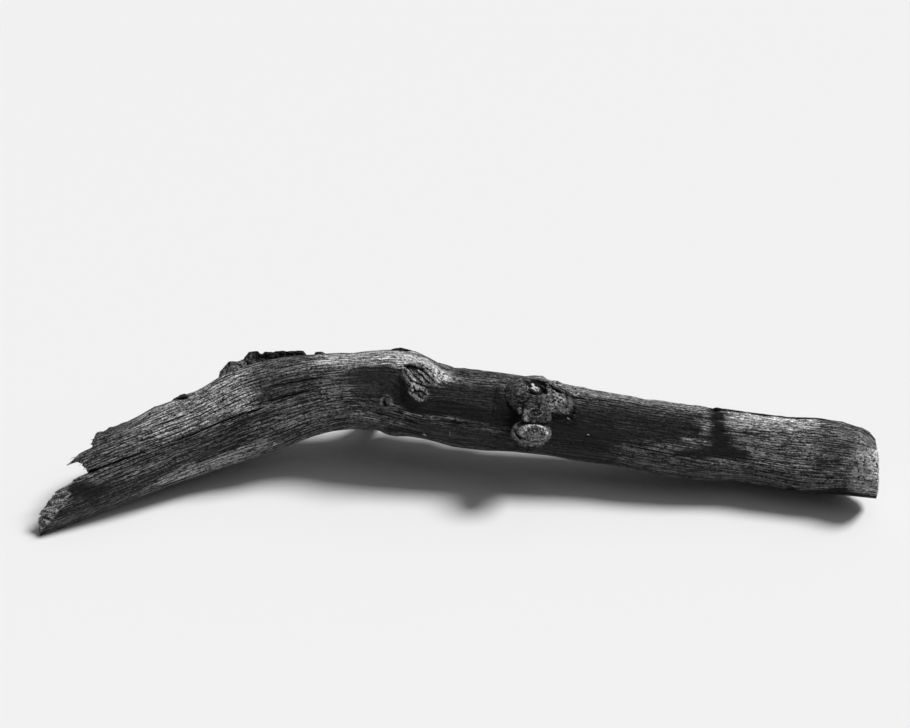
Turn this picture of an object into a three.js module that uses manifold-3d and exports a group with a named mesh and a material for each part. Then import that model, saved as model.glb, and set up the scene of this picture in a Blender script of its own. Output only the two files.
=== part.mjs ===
// A dead twig, torn to a tongue at its left end and cut off at its right end, lying on its side.
// Millimetres, +Z up, +X from the torn end to the cut end, and -Y is the side with the two stubs.
// The twig is one grown piece, so it is one solid: the limb is a skin of rings along a bent
// centreline, and the stubs and the bark left on it are joined to that skin.
import * as THREE from "three";
import { mergeVertices } from "three/addons/utils/BufferGeometryUtils.js";
import Module from "manifold-3d";

// Centreline and mean radius of the limb: x, y, z, radius
const STATIONS = [
  [-101, -17.6, 4.0, 8.8],
  [-90, -13.0, 6.4, 8.9],
  [-77.5, -7.6, 8.8, 9.1],
  [-63, -1.6, 11.2, 9.6],
  [-49, 4.0, 14.4, 10.9],
  [-36, 7.0, 16.9, 10.0],
  [-24, 7.4, 18.5, 9.1],
  [-13, 6.2, 18.4, 10.3],
  [-3, 3.6, 16.7, 9.45],
  [10, 2.0, 15.7, 9.3],
  [28, 0.2, 14.0, 8.8],
  [46, -1.6, 11.9, 8.35],
  [64, -3.5, 10.0, 8.4],
  [80, -5.2, 8.5, 8.65],
  [92, -8.0, 9.1, 8.1],
  [104, -13.6, 10.9, 7.3],
];

// Places round the limb are in degrees: 0 is the top, 90 the front (-Y) and 180 the underside.
// Lumps and hollows of the wood: place, reach along and round in mm, height, and the share of
// the reach that is flat on top.
const LUMPS = [
  { x: 19.6, deg: 15, along: 8.4, round: 9.2, height: 1.7, flat: 0.5 }, // collar of the two stubs
  { x: 18.4, deg: 50, along: 3.6, round: 6.5, height: 1.5, flat: 0.45 }, // neck above the lower stub
  { x: 14.6, deg: 24, along: 2.2, round: 3.0, height: 0.55, flat: 0.4 }, // scales of the collar
  { x: 22.6, deg: 22, along: 2.6, round: 2.4, height: 0.6, flat: 0.4 },
  { x: 24.6, deg: 36, along: 2.4, round: 2.2, height: 0.45, flat: 0.4 },
  { x: 14.2, deg: -6, along: 2.0, round: 2.4, height: 0.5, flat: 0.4 },
  { x: 24.4, deg: 8, along: 3.0, round: 1.5, height: -0.6, flat: 0.3 }, // crack above its right side
  { x: -8.6, deg: 28, along: 4.6, round: 6.4, height: 1.1, flat: 0.45 }, // healed knot at the bend
  { x: -8.8, deg: 12, along: 2.2, round: 1.6, height: -0.7, flat: 0.2 }, // fissures in that knot
  { x: -8.0, deg: 38, along: 2.6, round: 1.4, height: -0.7, flat: 0.2 },
  { x: -15, deg: 70, along: 2.4, round: 2.4, height: 0.45, flat: 0.3 }, // small ringed knot
  { x: -21.2, deg: 89, along: 1.4, round: 1.2, height: -0.5, flat: 0.2 }, // pit beside it
  { x: -10, deg: 148, along: 9, round: 7, height: 0.7, flat: 0.3 }, // swelling under the bend
  { x: -22, deg: 142, along: 7, round: 7, height: -0.4, flat: 0.3 },
  { x: -18, deg: 214, along: 9, round: 9, height: 1.5, flat: 0.3 }, // collar of the back stub
  { x: -31, deg: -38, along: 2.4, round: 2.4, height: 0.9, flat: 0.5 }, // grains of bark on the top
  { x: -1, deg: 76, along: 11, round: 1.8, height: 0.35, flat: 0.5 }, // raised streak past the knot
  { x: 62, deg: 10, along: 1.6, round: 11, height: -0.3, flat: 0.5 }, // scar ring across the limb
  { x: 45, deg: 238, along: 5, round: 4.5, height: 0.9, flat: 0.4 }, // healed knot on the back
  { x: 45, deg: 238, along: 1.8, round: 1.6, height: -0.8, flat: 0.3 },
  { x: -62, deg: 236, along: 16, round: 3.4, height: -0.6, flat: 0.4 }, // long hollow on the back
  { x: 80, deg: 262, along: 12, round: 3, height: -0.5, flat: 0.4 },
];

// Where the torn end breaks off: place round the limb, x of the rim, and x of the crest, which
// is the line at CREST_SHARE of the radius where the broken face stands out furthest.
const BREAK = [
  [-40, -80.5, -80.2],
  [-20, -81.5, -81.2],
  [0, -83.5, -83.2],
  [10, -84.4, -84.2],
  [18, -87.6, -86.2],
  [25.5, -89.3, -87.8],
  [33, -87.1, -86.6],
  [40, -86.7, -86.4],
  [46.4, -86.3, -86.4],
  [49.6, -89.3, -90.2],
  [60, -90.8, -94.4],
  [72, -91.9, -97.0],
  [84, -94.4, -98.8],
  [96, -97.9, -99.8],
  [108, -99.6, -100.3],
  [120, -100.5, -100.1],
  [135, -99.7, -98.2],
  [150, -96.0, -95.0],
  [165, -88.5, -90.0],
  [180, -82.5, -86.0],
  [200, -79.0, -82.0],
  [240, -78.0, -80.0],
  [280, -79.2, -79.6],
  [320, -80.5, -80.2],
];
const CREST_SHARE = 0.65;
const BREAK_CENTRE_X = -84;
const BREAK_MEET_X = -74; // from here on the rings are whole
const BREAK_RINGS = 7;

// The cut end: a plane nearly square to X, given by its x at the limb's centre and by how much
// that grows per mm of y and of z, with the top corner worn away before it
const CUT = { x: 99.3, y: -11, z: 10, perY: 0.12, perZ: -0.1 };
const WORN = { deg: -42, spread: 64, slopeFrom: 85, slope: 0.75, cornerFrom: 95.2, corner: 2.9 };
const CUT_RINGS = 5;

// The long drying crack on the front of the torn limb
const CRACK = { deg: 48, half: 1.6, from: -90, to: -31, fade: 22, depth: 1.0 };
const CRACK_BRIDGE = { x: -73.2, half: 0.9 }; // where the wood still holds across it

// Stretches of the limb and the ring spacing in each, up to where the cut end starts
const SPACING = [
  [-54, 3.2],
  [-33, 3.0],
  [-19, 2.8],
  [-1, 1.8],
  [10, 2.8],
  [29, 1.9],
  [58, 3.6],
  [66, 2.0],
  [89, 3.8],
];

// The two stubs on the front and the one that props up the bend from behind.
// Each is a turned profile (radius, height) set on the limb at a place, with its own direction.
const HOLLOW_STUB = {
  x: 18.4,
  deg: 6,
  lift: -2.1,
  lean: [0.02, -0.15, 1],
  oval: 1,
  profile: [
    [0, -4], [3.9, -4], [3.3, 0.4], [2.75, 2.2], [2.3, 2.5], [1.9, 2.3], [1.0, 2.2], [0, 2.5],
  ],
};
// The ring left empty where the heart of the hollow stub has shrunk away from its wall
const STUB_PIT = [[0.95, 0.7], [1.75, 0.7], [2.1, 5], [0.95, 5], [0.95, 0.7]];
const CUT_STUB = {
  x: 17.8,
  offset: [-11.0, 4.3],
  lean: [0.06, -0.47, 0.88],
  oval: 0.7,
  profile: [
    [0, -6.5], [3.2, -6.5], [4.2, -2.2], [4.75, -0.9], [4.6, -0.1], [4.1, 0.1], [3.75, -0.35], [3.4, 0.1],
    [0, 0.45],
  ],
};
const PROP_STUB = {
  x: -18,
  offset: [7.2, -7.0],
  lean: [-0.1, 0.3, -0.95],
  oval: 1,
  profile: [[0, -6], [4.4, -6], [3.4, 0], [2.9, 4], [2.6, 14], [0, 14]],
};
const STUB_SIDES = 14;

// Bark left on the upper back of the torn limb: a thin sheet, with cracked blocks standing on it
const BARK_SHEET = { from: -52.5, to: -34.5, degFrom: -112, degTo: -30, height: 1.1, steps: 12, sides: 7 };
const BARK_BLOCKS = [
  // x, degrees, length, width, height, turn in degrees
  [-50.6, -37, 3.8, 3.4, 1.9, 12],
  [-47.2, -38, 3.4, 3.2, 1.5, -6],
  [-44.2, -37, 3.6, 3.6, 2.4, 8],
  [-40.8, -38, 3.8, 3.2, 1.6, -7],
  [-37.4, -38, 3.8, 3.0, 1.5, 5],
  [-49.4, -57, 3.8, 3.4, 1.6, -10],
  [-45.4, -58, 3.9, 3.4, 2.1, 7],
  [-41.2, -57, 4.2, 3.4, 1.8, -5],
  [-47.4, -77, 4.2, 3.4, 1.5, 9],
  [-42.8, -78, 4.4, 3.6, 1.8, -8],
  [-44.8, -96, 4.6, 3.0, 1.3, 6],
  [-62.6, -38, 3.2, 2.0, 0.5, 4],
];
const BLOCK_ROOT = 1.2; // how deep a block is sunk in the wood
const BLOCK_TAPER = 0.84; // its top against its foot

// Middle of the twig's box, which becomes the origin, on the surface that the twig lies on
const ORIGIN = { x: 1.27, y: -2.015 };

const WOOD_COLOR = 0x6e6b66;
const WOOD_ROUGHNESS = 0.9;

const RAD = Math.PI / 180;
const FIRST_ROW = -42; // degrees, just past the top edge that the front shows
const FRONT_STEP = 7.5; // degrees between the rows of the front
const BACK_FROM = 150; // from here round to the first row again the rows are wider apart
const BACK_STEP = 12;
const FACE_SHARES = [0.2, 0.45, 0.65, 0.84]; // shares of the radius with a ring on the torn face
const FACE_JAG = 0.5; // how far the torn face's fibres stand out, in mm
const CUT_SHARES = [0.9, 0.5];
const CUT_JAG = 0.25;

// Value of one station column at x, on a smooth curve through the stations
function alongLimb(x, column) {
  const last = STATIONS.length - 1;
  let i = 0;
  while (i < last - 1 && x > STATIONS[i + 1][0]) i += 1;
  const slope = (k) => {
    const a = STATIONS[Math.max(k - 1, 0)];
    const b = STATIONS[Math.min(k + 1, last)];
    return (b[column] - a[column]) / (b[0] - a[0]);
  };
  const [p, q] = [STATIONS[i], STATIONS[i + 1]];
  const h = q[0] - p[0];
  const t = (x - p[0]) / h;
  const [t2, t3] = [t * t, t * t * t];
  return (
    (2 * t3 - 3 * t2 + 1) * p[column] +
    (t3 - 2 * t2 + t) * h * slope(i) +
    (3 * t2 - 2 * t3) * q[column] +
    (t3 - t2) * h * slope(i + 1)
  );
}

// Centre of the limb at x, with its direction, its upward normal and its forward normal
function limbFrame(x) {
  const step = 0.05; // mm either side, for the direction
  const centre = (at) => new THREE.Vector3(at, alongLimb(at, 1), alongLimb(at, 2));
  const along = centre(x + step).sub(centre(x - step)).normalize();
  const up = new THREE.Vector3(0, 0, 1).addScaledVector(along, -along.z).normalize();
  const front = new THREE.Vector3().crossVectors(along, up);
  return { centre: centre(x), along, up, front };
}

// Shortest signed turn from one place round the limb to another, in degrees
function turnBetween(from, to) {
  return ((((to - from + 180) % 360) + 360) % 360) - 180;
}

// 1 inside the flat share of the reach, falling smoothly to 0 at the reach itself
function plateau(distance, flat) {
  const t = THREE.MathUtils.clamp((1 - distance) / (1 - flat), 0, 1);
  return t * t * (3 - 2 * t);
}

// Depth of the long crack: only the row that lies on it is pushed in
function crackDepth(x, deg) {
  if (Math.abs(turnBetween(CRACK.deg, deg)) > 0.5) return 0;
  if (Math.abs(x - CRACK_BRIDGE.x) < CRACK_BRIDGE.half) return 0;
  return x > CRACK.from ? CRACK.depth * THREE.MathUtils.smoothstep(CRACK.to - x, 0, CRACK.fade) : 0;
}

// How much of the top corner is worn away before the cut end
function wornDepth(x, deg) {
  const share = 1 - Math.min(Math.abs(turnBetween(WORN.deg, deg)) / WORN.spread, 1);
  const past = (from) => Math.max(x - from, 0) / (CUT.x - from);
  const slope = WORN.slope * Math.pow(past(WORN.slopeFrom), 1.5);
  const corner = WORN.corner * Math.pow(past(WORN.cornerFrom), 2);
  return (slope + corner) * Math.sqrt(share);
}

// Radius of the limb at a place: the mean radius with its lobes, ridges, lumps and worn corner
function surfaceRadius(x, deg) {
  const mean = alongLimb(x, 3);
  const lobes = 0.12 * Math.sin(3 * deg * RAD + x / 21) + 0.07 * Math.sin(5 * deg * RAD - x / 13);
  const ridges = 0.07 * Math.sin(17 * deg * RAD + x / 9) * Math.sin(x / 7 + 2 * deg * RAD);
  let radius = mean + lobes + ridges;
  for (const lump of LUMPS) {
    const dx = (x - lump.x) / lump.along;
    const round = turnBetween(lump.deg, deg) * RAD * mean;
    const dr = round / lump.round;
    radius += lump.height * plateau(Math.hypot(dx, dr), lump.flat);
  }
  return radius - wornDepth(x, deg) - crackDepth(x, deg);
}

// Point of the limb at x and a place round it, at a share of the radius
function limbPoint(x, deg, share = 1) {
  const { centre, up, front } = limbFrame(x);
  const radius = surfaceRadius(x, deg) * share;
  return centre
    .addScaledVector(up, radius * Math.cos(deg * RAD))
    .addScaledVector(front, radius * Math.sin(deg * RAD));
}

// Rows of the skin: close together on the seen side, with two extra ones beside the crack
function rowPlaces() {
  const places = [];
  for (let deg = FIRST_ROW; deg < BACK_FROM; deg += FRONT_STEP) {
    if (deg === CRACK.deg) places.push(deg - CRACK.half, deg, deg + CRACK.half);
    else places.push(deg);
  }
  const end = FIRST_ROW + 360 - BACK_STEP / 2;
  for (let deg = BACK_FROM; deg < end; deg += BACK_STEP) places.push(deg);
  return places;
}

// x of the torn face at a place and a share of the radius: rim, crest and centre joined smoothly
function breakX(deg, share) {
  const at = deg > 320 ? deg - 360 : deg;
  let i = 0;
  while (i < BREAK.length - 2 && at > BREAK[i + 1][0]) i += 1;
  const t = THREE.MathUtils.clamp((at - BREAK[i][0]) / (BREAK[i + 1][0] - BREAK[i][0]), 0, 1);
  const rim = THREE.MathUtils.lerp(BREAK[i][1], BREAK[i + 1][1], t);
  const crest = THREE.MathUtils.lerp(BREAK[i][2], BREAK[i + 1][2], t);
  if (share >= CREST_SHARE) {
    return THREE.MathUtils.lerp(crest, rim, (share - CREST_SHARE) / (1 - CREST_SHARE));
  }
  return THREE.MathUtils.lerp(BREAK_CENTRE_X, crest, THREE.MathUtils.smoothstep(share, 0, CREST_SHARE));
}

// Station whose surface point lies on the cut plane
function cutStation(deg, share) {
  let x = CUT.x;
  for (let pass = 0; pass < 8; pass += 1) {
    const point = limbPoint(x, deg, share);
    x -= point.x - (CUT.x + CUT.perY * (point.y - CUT.y) + CUT.perZ * (point.z - CUT.z));
  }
  return x;
}

// Stations of the whole rings, spaced as the table says
function ringStations() {
  const stations = [];
  let from = BREAK_MEET_X;
  for (const [to, spacing] of SPACING) {
    const count = Math.round((to - from) / spacing);
    for (let k = 0; k < count; k += 1) stations.push(from + ((to - from) * k) / count);
    from = to;
  }
  return [...stations, from];
}

// All rings of the limb, from the middle of the torn face to the middle of the cut face
function limbRings() {
  const places = rowPlaces();
  const ringAt = (x) => places.map((deg) => limbPoint(x, deg));
  const rings = [];
  for (const share of FACE_SHARES) {
    const jag = (k) => FACE_JAG * share * Math.sin(k * 2.4);
    rings.push(places.map((deg, k) => limbPoint(breakX(deg, share) + jag(k), deg, share)));
  }
  for (let j = 0; j < BREAK_RINGS; j += 1) {
    const t = Math.pow(j / BREAK_RINGS, 1.25);
    const fromRim = (deg) => THREE.MathUtils.lerp(breakX(deg, 1), BREAK_MEET_X, t);
    rings.push(places.map((deg) => limbPoint(fromRim(deg), deg)));
  }
  const stations = ringStations();
  for (const x of stations) rings.push(ringAt(x));
  const last = stations[stations.length - 1];
  for (let j = 1; j <= CUT_RINGS; j += 1) {
    const toCut = (deg) => THREE.MathUtils.lerp(last, cutStation(deg, 1), j / CUT_RINGS);
    rings.push(places.map((deg) => limbPoint(toCut(deg), deg)));
  }
  for (const share of CUT_SHARES) {
    const jag = (k) => CUT_JAG * Math.sin(k * 1.9);
    rings.push(places.map((deg, k) => limbPoint(cutStation(deg, share) + jag(k), deg, share)));
  }
  return rings;
}

// Closed skin over a list of rings with as many points each, and a point at either end
function skin(rings, first, last) {
  const sides = rings[0].length;
  const points = [first, ...rings.flat(), last];
  const index = [];
  for (let k = 0; k < sides; k += 1) {
    const next = (k + 1) % sides;
    index.push(0, 1 + next, 1 + k);
    for (let r = 0; r < rings.length - 1; r += 1) {
      const [a, b] = [1 + r * sides, 1 + (r + 1) * sides];
      index.push(a + k, a + next, b + next, a + k, b + next, b + k);
    }
    const end = 1 + (rings.length - 1) * sides;
    index.push(end + k, end + next, points.length - 1);
  }
  return new THREE.BufferGeometry().setFromPoints(points).setIndex(index);
}

function limbGeometry() {
  const middle = (x) => limbFrame(x).centre;
  return skin(limbRings(), middle(BREAK_CENTRE_X), middle(cutStation(0, 0)));
}

// A turned form of a stub, stretched to an oval and set on its place with its own direction
function stubGeometry(stub, outline = stub.profile) {
  const profile = outline.map(([r, h]) => new THREE.Vector2(r, h));
  const geometry = new THREE.LatheGeometry(profile, STUB_SIDES);
  geometry.scale(1, 1, stub.oval);
  const lean = new THREE.Vector3(...stub.lean).normalize();
  const side = new THREE.Vector3(1, 0, 0).addScaledVector(lean, -lean.x).normalize();
  const across = new THREE.Vector3().crossVectors(side, lean);
  const place = stub.offset
    ? new THREE.Vector3(stub.x, alongLimb(stub.x, 1) + stub.offset[0], alongLimb(stub.x, 2) + stub.offset[1])
    : limbPoint(stub.x, stub.deg).addScaledVector(lean, stub.lift);
  return geometry.applyMatrix4(new THREE.Matrix4().makeBasis(side, lean, across).setPosition(place));
}

// The thin sheet of bark that the blocks stand on, ragged along its edges
function barkSheetGeometry() {
  const { from, to, degFrom, degTo, height, steps, sides } = BARK_SHEET;
  const rings = [];
  for (let i = 0; i <= steps; i += 1) {
    const t = i / steps;
    const narrow = 1 - 0.25 * Math.pow(Math.abs(2 * t - 1), 3);
    const low = degFrom * narrow + 4 * Math.sin(i * 2.1);
    const high = degTo - 2.5 * (1 + Math.sin(i * 2.7));
    const x = THREE.MathUtils.lerp(from, to, t);
    const row = (lift, k) => {
      const deg = THREE.MathUtils.lerp(low, high, k / sides);
      return limbPoint(x, deg, 1 + lift / alongLimb(x, 3));
    };
    const ring = [];
    for (let k = 0; k <= sides; k += 1) ring.push(row(height * (0.7 + 0.3 * Math.sin(i + k)), k));
    for (let k = sides; k >= 0; k -= 1) ring.push(row(-BLOCK_ROOT, k));
    rings.push(ring);
  }
  const middle = (ring) => ring.reduce((sum, p) => sum.add(p), new THREE.Vector3()).divideScalar(ring.length);
  return skin(rings, middle(rings[0]), middle(rings[rings.length - 1]));
}

// One cracked block of bark: a leaning prism with an uneven top
function barkBlockGeometry([x, deg, length, width, height, turn]) {
  const foot = limbPoint(x, deg);
  const { centre, along } = limbFrame(x);
  const out = foot.clone().sub(centre).normalize();
  const side = new THREE.Vector3().crossVectors(along, out);
  const geometry = new THREE.BoxGeometry(length, height + BLOCK_ROOT, width, 2, 1, 2);
  const position = geometry.getAttribute("position");
  for (let i = 0; i < position.count; i += 1) {
    const [px, py, pz] = [position.getX(i), position.getY(i), position.getZ(i)];
    const top = py > 0;
    const corner = Math.abs(px) > 0.1 && Math.abs(pz) > 0.1;
    const taper = (top ? BLOCK_TAPER : 1) * (corner ? 0.86 : 1);
    const uneven = top ? 0.18 * height * Math.sin(3 * px + 2 * pz + x) : 0;
    position.setXYZ(i, px * taper, py + uneven, pz * taper);
  }
  geometry.rotateY(turn * RAD);
  geometry.translate(0, (height - BLOCK_ROOT) / 2, 0);
  return geometry.applyMatrix4(new THREE.Matrix4().makeBasis(along, out, side).setPosition(foot));
}

// Everything below the surface that the twig lies on
function floorGeometry() {
  const depth = 40;
  return new THREE.BoxGeometry(400, 200, depth).translate(0, 0, -depth / 2);
}

const wasm = await Module();
wasm.setup();

// A closed three.js geometry as a solid that can be joined and cut
function solidOf(geometry) {
  const bare = new THREE.BufferGeometry();
  bare.setAttribute("position", geometry.getAttribute("position"));
  bare.setIndex(geometry.getIndex());
  const merged = mergeVertices(bare, 1e-4);
  const solid = new wasm.Manifold(
    new wasm.Mesh({
      numProp: 3,
      vertProperties: Float32Array.from(merged.getAttribute("position").array),
      triVerts: Uint32Array.from(merged.getIndex().array),
    }),
  );
  if (solid.volume() <= 0) throw new Error("a geometry is inside out");
  return solid;
}

function geometryOf(solid) {
  const mesh = solid.getMesh();
  const geometry = new THREE.BufferGeometry();
  geometry.setAttribute("position", new THREE.BufferAttribute(mesh.vertProperties, 3));
  geometry.setIndex(new THREE.BufferAttribute(mesh.triVerts, 1));
  geometry.computeVertexNormals();
  return geometry;
}

function twigGeometry() {
  const additions = [
    ...[HOLLOW_STUB, CUT_STUB, PROP_STUB].map((stub) => stubGeometry(stub)),
    barkSheetGeometry(),
    ...BARK_BLOCKS.map(barkBlockGeometry),
  ];
  let twig = solidOf(limbGeometry());
  for (const addition of additions) twig = twig.add(solidOf(addition));
  const cuts = [stubGeometry(HOLLOW_STUB, STUB_PIT), floorGeometry()];
  for (const cut of cuts) twig = twig.subtract(solidOf(cut));
  return geometryOf(twig).translate(-ORIGIN.x, -ORIGIN.y, 0);
}

const wood = new THREE.MeshStandardMaterial({ color: WOOD_COLOR, roughness: WOOD_ROUGHNESS });
const twig = new THREE.Mesh(twigGeometry(), wood);
twig.name = "twig";

const root = new THREE.Group();
root.add(twig);

export default root;
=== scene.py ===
"""Looks of a dead, weathered twig that lies on its side: torn at one end, cut off at the other.

A place on the limb is written as in the part's source: x, the station along the limb in
millimetres, and degrees round it, 0 on top, 90 at the front and 180 underneath.
"""

import logging
import math
from dataclasses import dataclass, field
from enum import IntEnum

import bpy
import numpy as np
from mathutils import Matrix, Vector


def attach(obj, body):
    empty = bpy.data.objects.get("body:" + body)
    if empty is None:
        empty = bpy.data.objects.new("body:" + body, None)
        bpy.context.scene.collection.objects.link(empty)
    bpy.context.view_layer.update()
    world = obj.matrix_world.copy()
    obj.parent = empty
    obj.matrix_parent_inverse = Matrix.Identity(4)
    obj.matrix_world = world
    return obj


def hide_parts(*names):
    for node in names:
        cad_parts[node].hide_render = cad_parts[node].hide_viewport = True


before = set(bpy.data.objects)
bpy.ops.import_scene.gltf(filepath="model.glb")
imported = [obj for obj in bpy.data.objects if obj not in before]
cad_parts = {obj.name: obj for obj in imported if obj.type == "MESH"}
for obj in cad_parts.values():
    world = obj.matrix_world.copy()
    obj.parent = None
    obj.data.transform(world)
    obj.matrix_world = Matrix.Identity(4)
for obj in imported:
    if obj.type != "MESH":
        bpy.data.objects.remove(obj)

LOG = logging.getLogger("twig")
MM = 0.001
RAD = math.pi / 180.0
ORIGIN_X = 1.27  # the row's origin in the limb's own millimetres
ORIGIN_Y = -2.015
ROUND_RADIUS = 9.2  # radius at which degrees round the limb are turned into millimetres
CLEAR_OF_FLOOR = 0.02  # least height of any point, in mm

Array = np.ndarray
Pair = tuple[float, float]
Triple = tuple[float, float, float]


class Course(IntEnum):
    """What a station of the limb holds beside its x."""

    Y = 1
    Z = 2
    RADIUS = 3


class Torn(IntEnum):
    """What a row of the break holds beside its degrees."""

    RIM = 1
    CREST = 2


def eased(low: float, high: float, value: Array) -> Array:
    """Smooth step from 0 at low to 1 at high; low may be the larger one."""
    share = np.clip((value - low) / (high - low), 0.0, 1.0)
    return share * share * (3.0 - 2.0 * share)


def turn_between(start: Array | float, end: Array | float) -> Array:
    """Shortest signed turn from one place round the limb to another, in degrees."""
    return (np.asarray(end) - start + 180.0) % 360.0 - 180.0


def in_mm(deg: Array | float) -> Array:
    """Length round the limb of a number of degrees, in millimetres."""
    return deg * RAD * ROUND_RADIUS


@dataclass(frozen=True)
class Noise:
    """Seeded value noise over the limb, with a whole number of cells round it."""

    seed: int

    def over(self, x: Array | float, deg: Array, length: float, cells: int, layer: int) -> Array:
        """Noise between -1 and 1.

        Args:
            x: Stations in millimetres.
            deg: Degrees round the limb.
            length: Length of a cell along the limb, in millimetres.
            cells: Cells round the limb.
            layer: Number that makes this layer differ from the others.

        Returns:
            The noise at each place.
        """
        x, deg = np.broadcast_arrays(x, deg)
        columns = int(260.0 / length) + 4
        table = np.random.default_rng((self.seed, layer)).uniform(-1.0, 1.0, (columns, cells))
        u = np.clip((x + 130.0) / length, 0.0, columns - 2.001)
        v = (deg % 360.0) / 360.0 * cells
        i, j = u.astype(int), v.astype(int) % cells
        fu, fv = u - i, v - np.floor(v)
        fu, fv = fu * fu * (3 - 2 * fu), fv * fv * (3 - 2 * fv)
        k = (j + 1) % cells
        near = table[i, j] * (1 - fv) + table[i, k] * fv
        far = table[i + 1, j] * (1 - fv) + table[i + 1, k] * fv
        return near * (1 - fu) + far * fu


@dataclass
class Surface:
    """What a piece shows at each place: tone, groove, rough and wool from 0 to 1, and lift in mm.

    tone is the wood's lightness, with painted shade and painted highlights in a few places, groove how deep
    in a crack a place is, rough how open its grain is and wool how crumbled it is. lift is the height above
    the broad form.
    """

    tone: Array
    groove: Array
    rough: Array
    wool: Array
    lift: Array | float = 0.0

    @staticmethod
    def even(tone: Array, groove: Array | float, rough: float, wool: float) -> "Surface":
        """A surface whose roughness and wool are the same all over."""
        return Surface(*(np.broadcast_to(part, tone.shape) for part in (tone, groove, rough, wool)))


@dataclass(frozen=True)
class Lump:
    """A broad lump or hollow of the limb: its place, its reach in mm, its height and its flat share."""

    x: float
    deg: float
    along: float
    round: float
    height: float
    flat: float


@dataclass(frozen=True)
class Mark:
    """Something on the surface that follows a path: a stain, a pale streak, a crack or a ridge.

    The path holds x, degrees and half-width in mm. tone is the lightness there: the wood's own, and painted
    shade in the marks noted so. lift raises the surface in mm, and calm, wool and plates set how smooth,
    woolly or scaly it is.
    """

    path: tuple[Triple, ...]
    tone: float
    weight: float = 1.0
    edge: float = 0.4
    ragged: float = 0.0
    lift: float = 0.0
    calm: float = 0.0
    wool: float = 0.0
    plates: float = 0.0

    def cover(self, x: Array, deg: Array, noise: Noise, layer: int) -> Array:
        """How much of the mark there is at each place, from 0 to 1.

        Args:
            x: Stations in millimetres.
            deg: Degrees round the limb.
            noise: Source of the ragged edge.
            layer: Number of the mark.

        Returns:
            The cover at each place.
        """
        if self.ragged:
            streaks = noise.over(x, deg, 5.0, 140, 900 + layer)
            patches = noise.over(x, deg, 2.2, 34, 1100 + layer)
            x = x + self.ragged * (0.9 * streaks + 0.7 * patches)
            deg = deg + self.ragged * 2.6 * noise.over(x, deg, 3.0, 46, 1300 + layer)
        nearest = np.full(x.shape, np.inf)
        steps = list(zip(self.path, self.path[1:])) or [(self.path[0], self.path[0])]
        for (x0, deg0, wide0), (x1, deg1, wide1) in steps:
            run = np.array([x1 - x0, in_mm(deg1 - deg0)])
            dx, dy = x - x0, in_mm(turn_between(deg0, deg))
            share = np.clip((dx * run[0] + dy * run[1]) / max(float(run @ run), 1e-9), 0.0, 1.0)
            away = np.hypot(dx - share * run[0], dy - share * run[1])
            nearest = np.minimum(nearest, away / (wide0 + share * (wide1 - wide0)))
        return eased(1.0 + self.edge, 1.0 - self.edge, nearest)


@dataclass(frozen=True)
class Knot:
    """A knot that the grain flows round: its place and radius, longer along the limb by stretch."""

    x: float
    deg: float
    radius: float
    stretch: float


@dataclass(frozen=True)
class Span:
    """A stretch of the limb's skin: its first and last station, and its first and last degree."""

    start: float
    end: float
    first: float
    last: float

    def inside(self, x: Array, deg: Array, edge: float, full: float) -> Array:
        """How far each place is inside the span.

        Args:
            x: Stations in millimetres.
            deg: Degrees round the limb.
            edge: Distance in from the span's edge up to which the answer is 0, in mm.
            full: Distance from which it is 1.

        Returns:
            A share from 0 to 1 for each place.
        """
        ends = np.minimum(x - self.start, self.end - x)
        sides = in_mm(np.minimum(turn_between(self.first, deg), turn_between(deg, self.last)))
        return eased(edge, full, ends) * eased(edge, full, sides)


@dataclass(frozen=True)
class Arc:
    """A ring, or part of one, on the end of a stub: middle, radius and half-width in mm."""

    middle: Pair
    radius: float
    half: float
    from_deg: float = -180.0
    to_deg: float = 180.0
    tone: float = 0.0
    lift: float = 0.0

    def cover(self, u: Array, v: Array) -> Array:
        """How much of the arc there is at each place of the end.

        Args:
            u: Places across the end, in mm.
            v: Places across it the other way.

        Returns:
            The cover at each place, from 0 to 1.
        """
        du, dv = u - self.middle[0], v - self.middle[1]
        off_middle = np.abs(turn_between((self.from_deg + self.to_deg) / 2, np.degrees(np.arctan2(dv, du))))
        past = np.maximum(off_middle - (self.to_deg - self.from_deg) / 2, 0.0) * RAD * max(self.radius, 0.3)
        return eased(1.4, 0.5, np.hypot(np.hypot(du, dv) - self.radius, past) / self.half)


@dataclass(frozen=True)
class Fibre:
    """A loose fibre: its root, its length in mm, its direction, how far it curls and how pale it is."""

    x: float
    deg: float
    length: float
    lean: Triple
    curl: Triple = (0.0, 0.0, 0.0)
    radius: float = 0.09
    tone: float = 0.25


@dataclass(frozen=True)
class Seat:
    """Where a piece grows from: its foot, its axis and the two directions across it."""

    foot: Array
    side: Array
    axis: Array
    across: Array

    @staticmethod
    def leaning(foot: Array, lean: Triple) -> "Seat":
        """Seat of a piece whose axis leans in a given direction.

        Args:
            foot: Where the axis starts, in the limb's millimetres.
            lean: Direction of the axis, of any length.

        Returns:
            The seat, with one direction across it as near to the limb's as can be.
        """
        axis = np.array(lean) / np.linalg.norm(lean)
        side = np.array([1.0, 0.0, 0.0]) - axis * axis[0]
        side /= np.linalg.norm(side)
        return Seat(foot, side, axis, np.cross(side, axis))

    def place(self, side: Array, height: Array, across: Array) -> Array:
        """Points given by how far they are along the three directions, in the limb's millimetres."""
        parts = ((side, self.side), (height, self.axis), (across, self.across))
        return self.foot + sum(np.asarray(amount)[..., None] * way for amount, way in parts)


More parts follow.
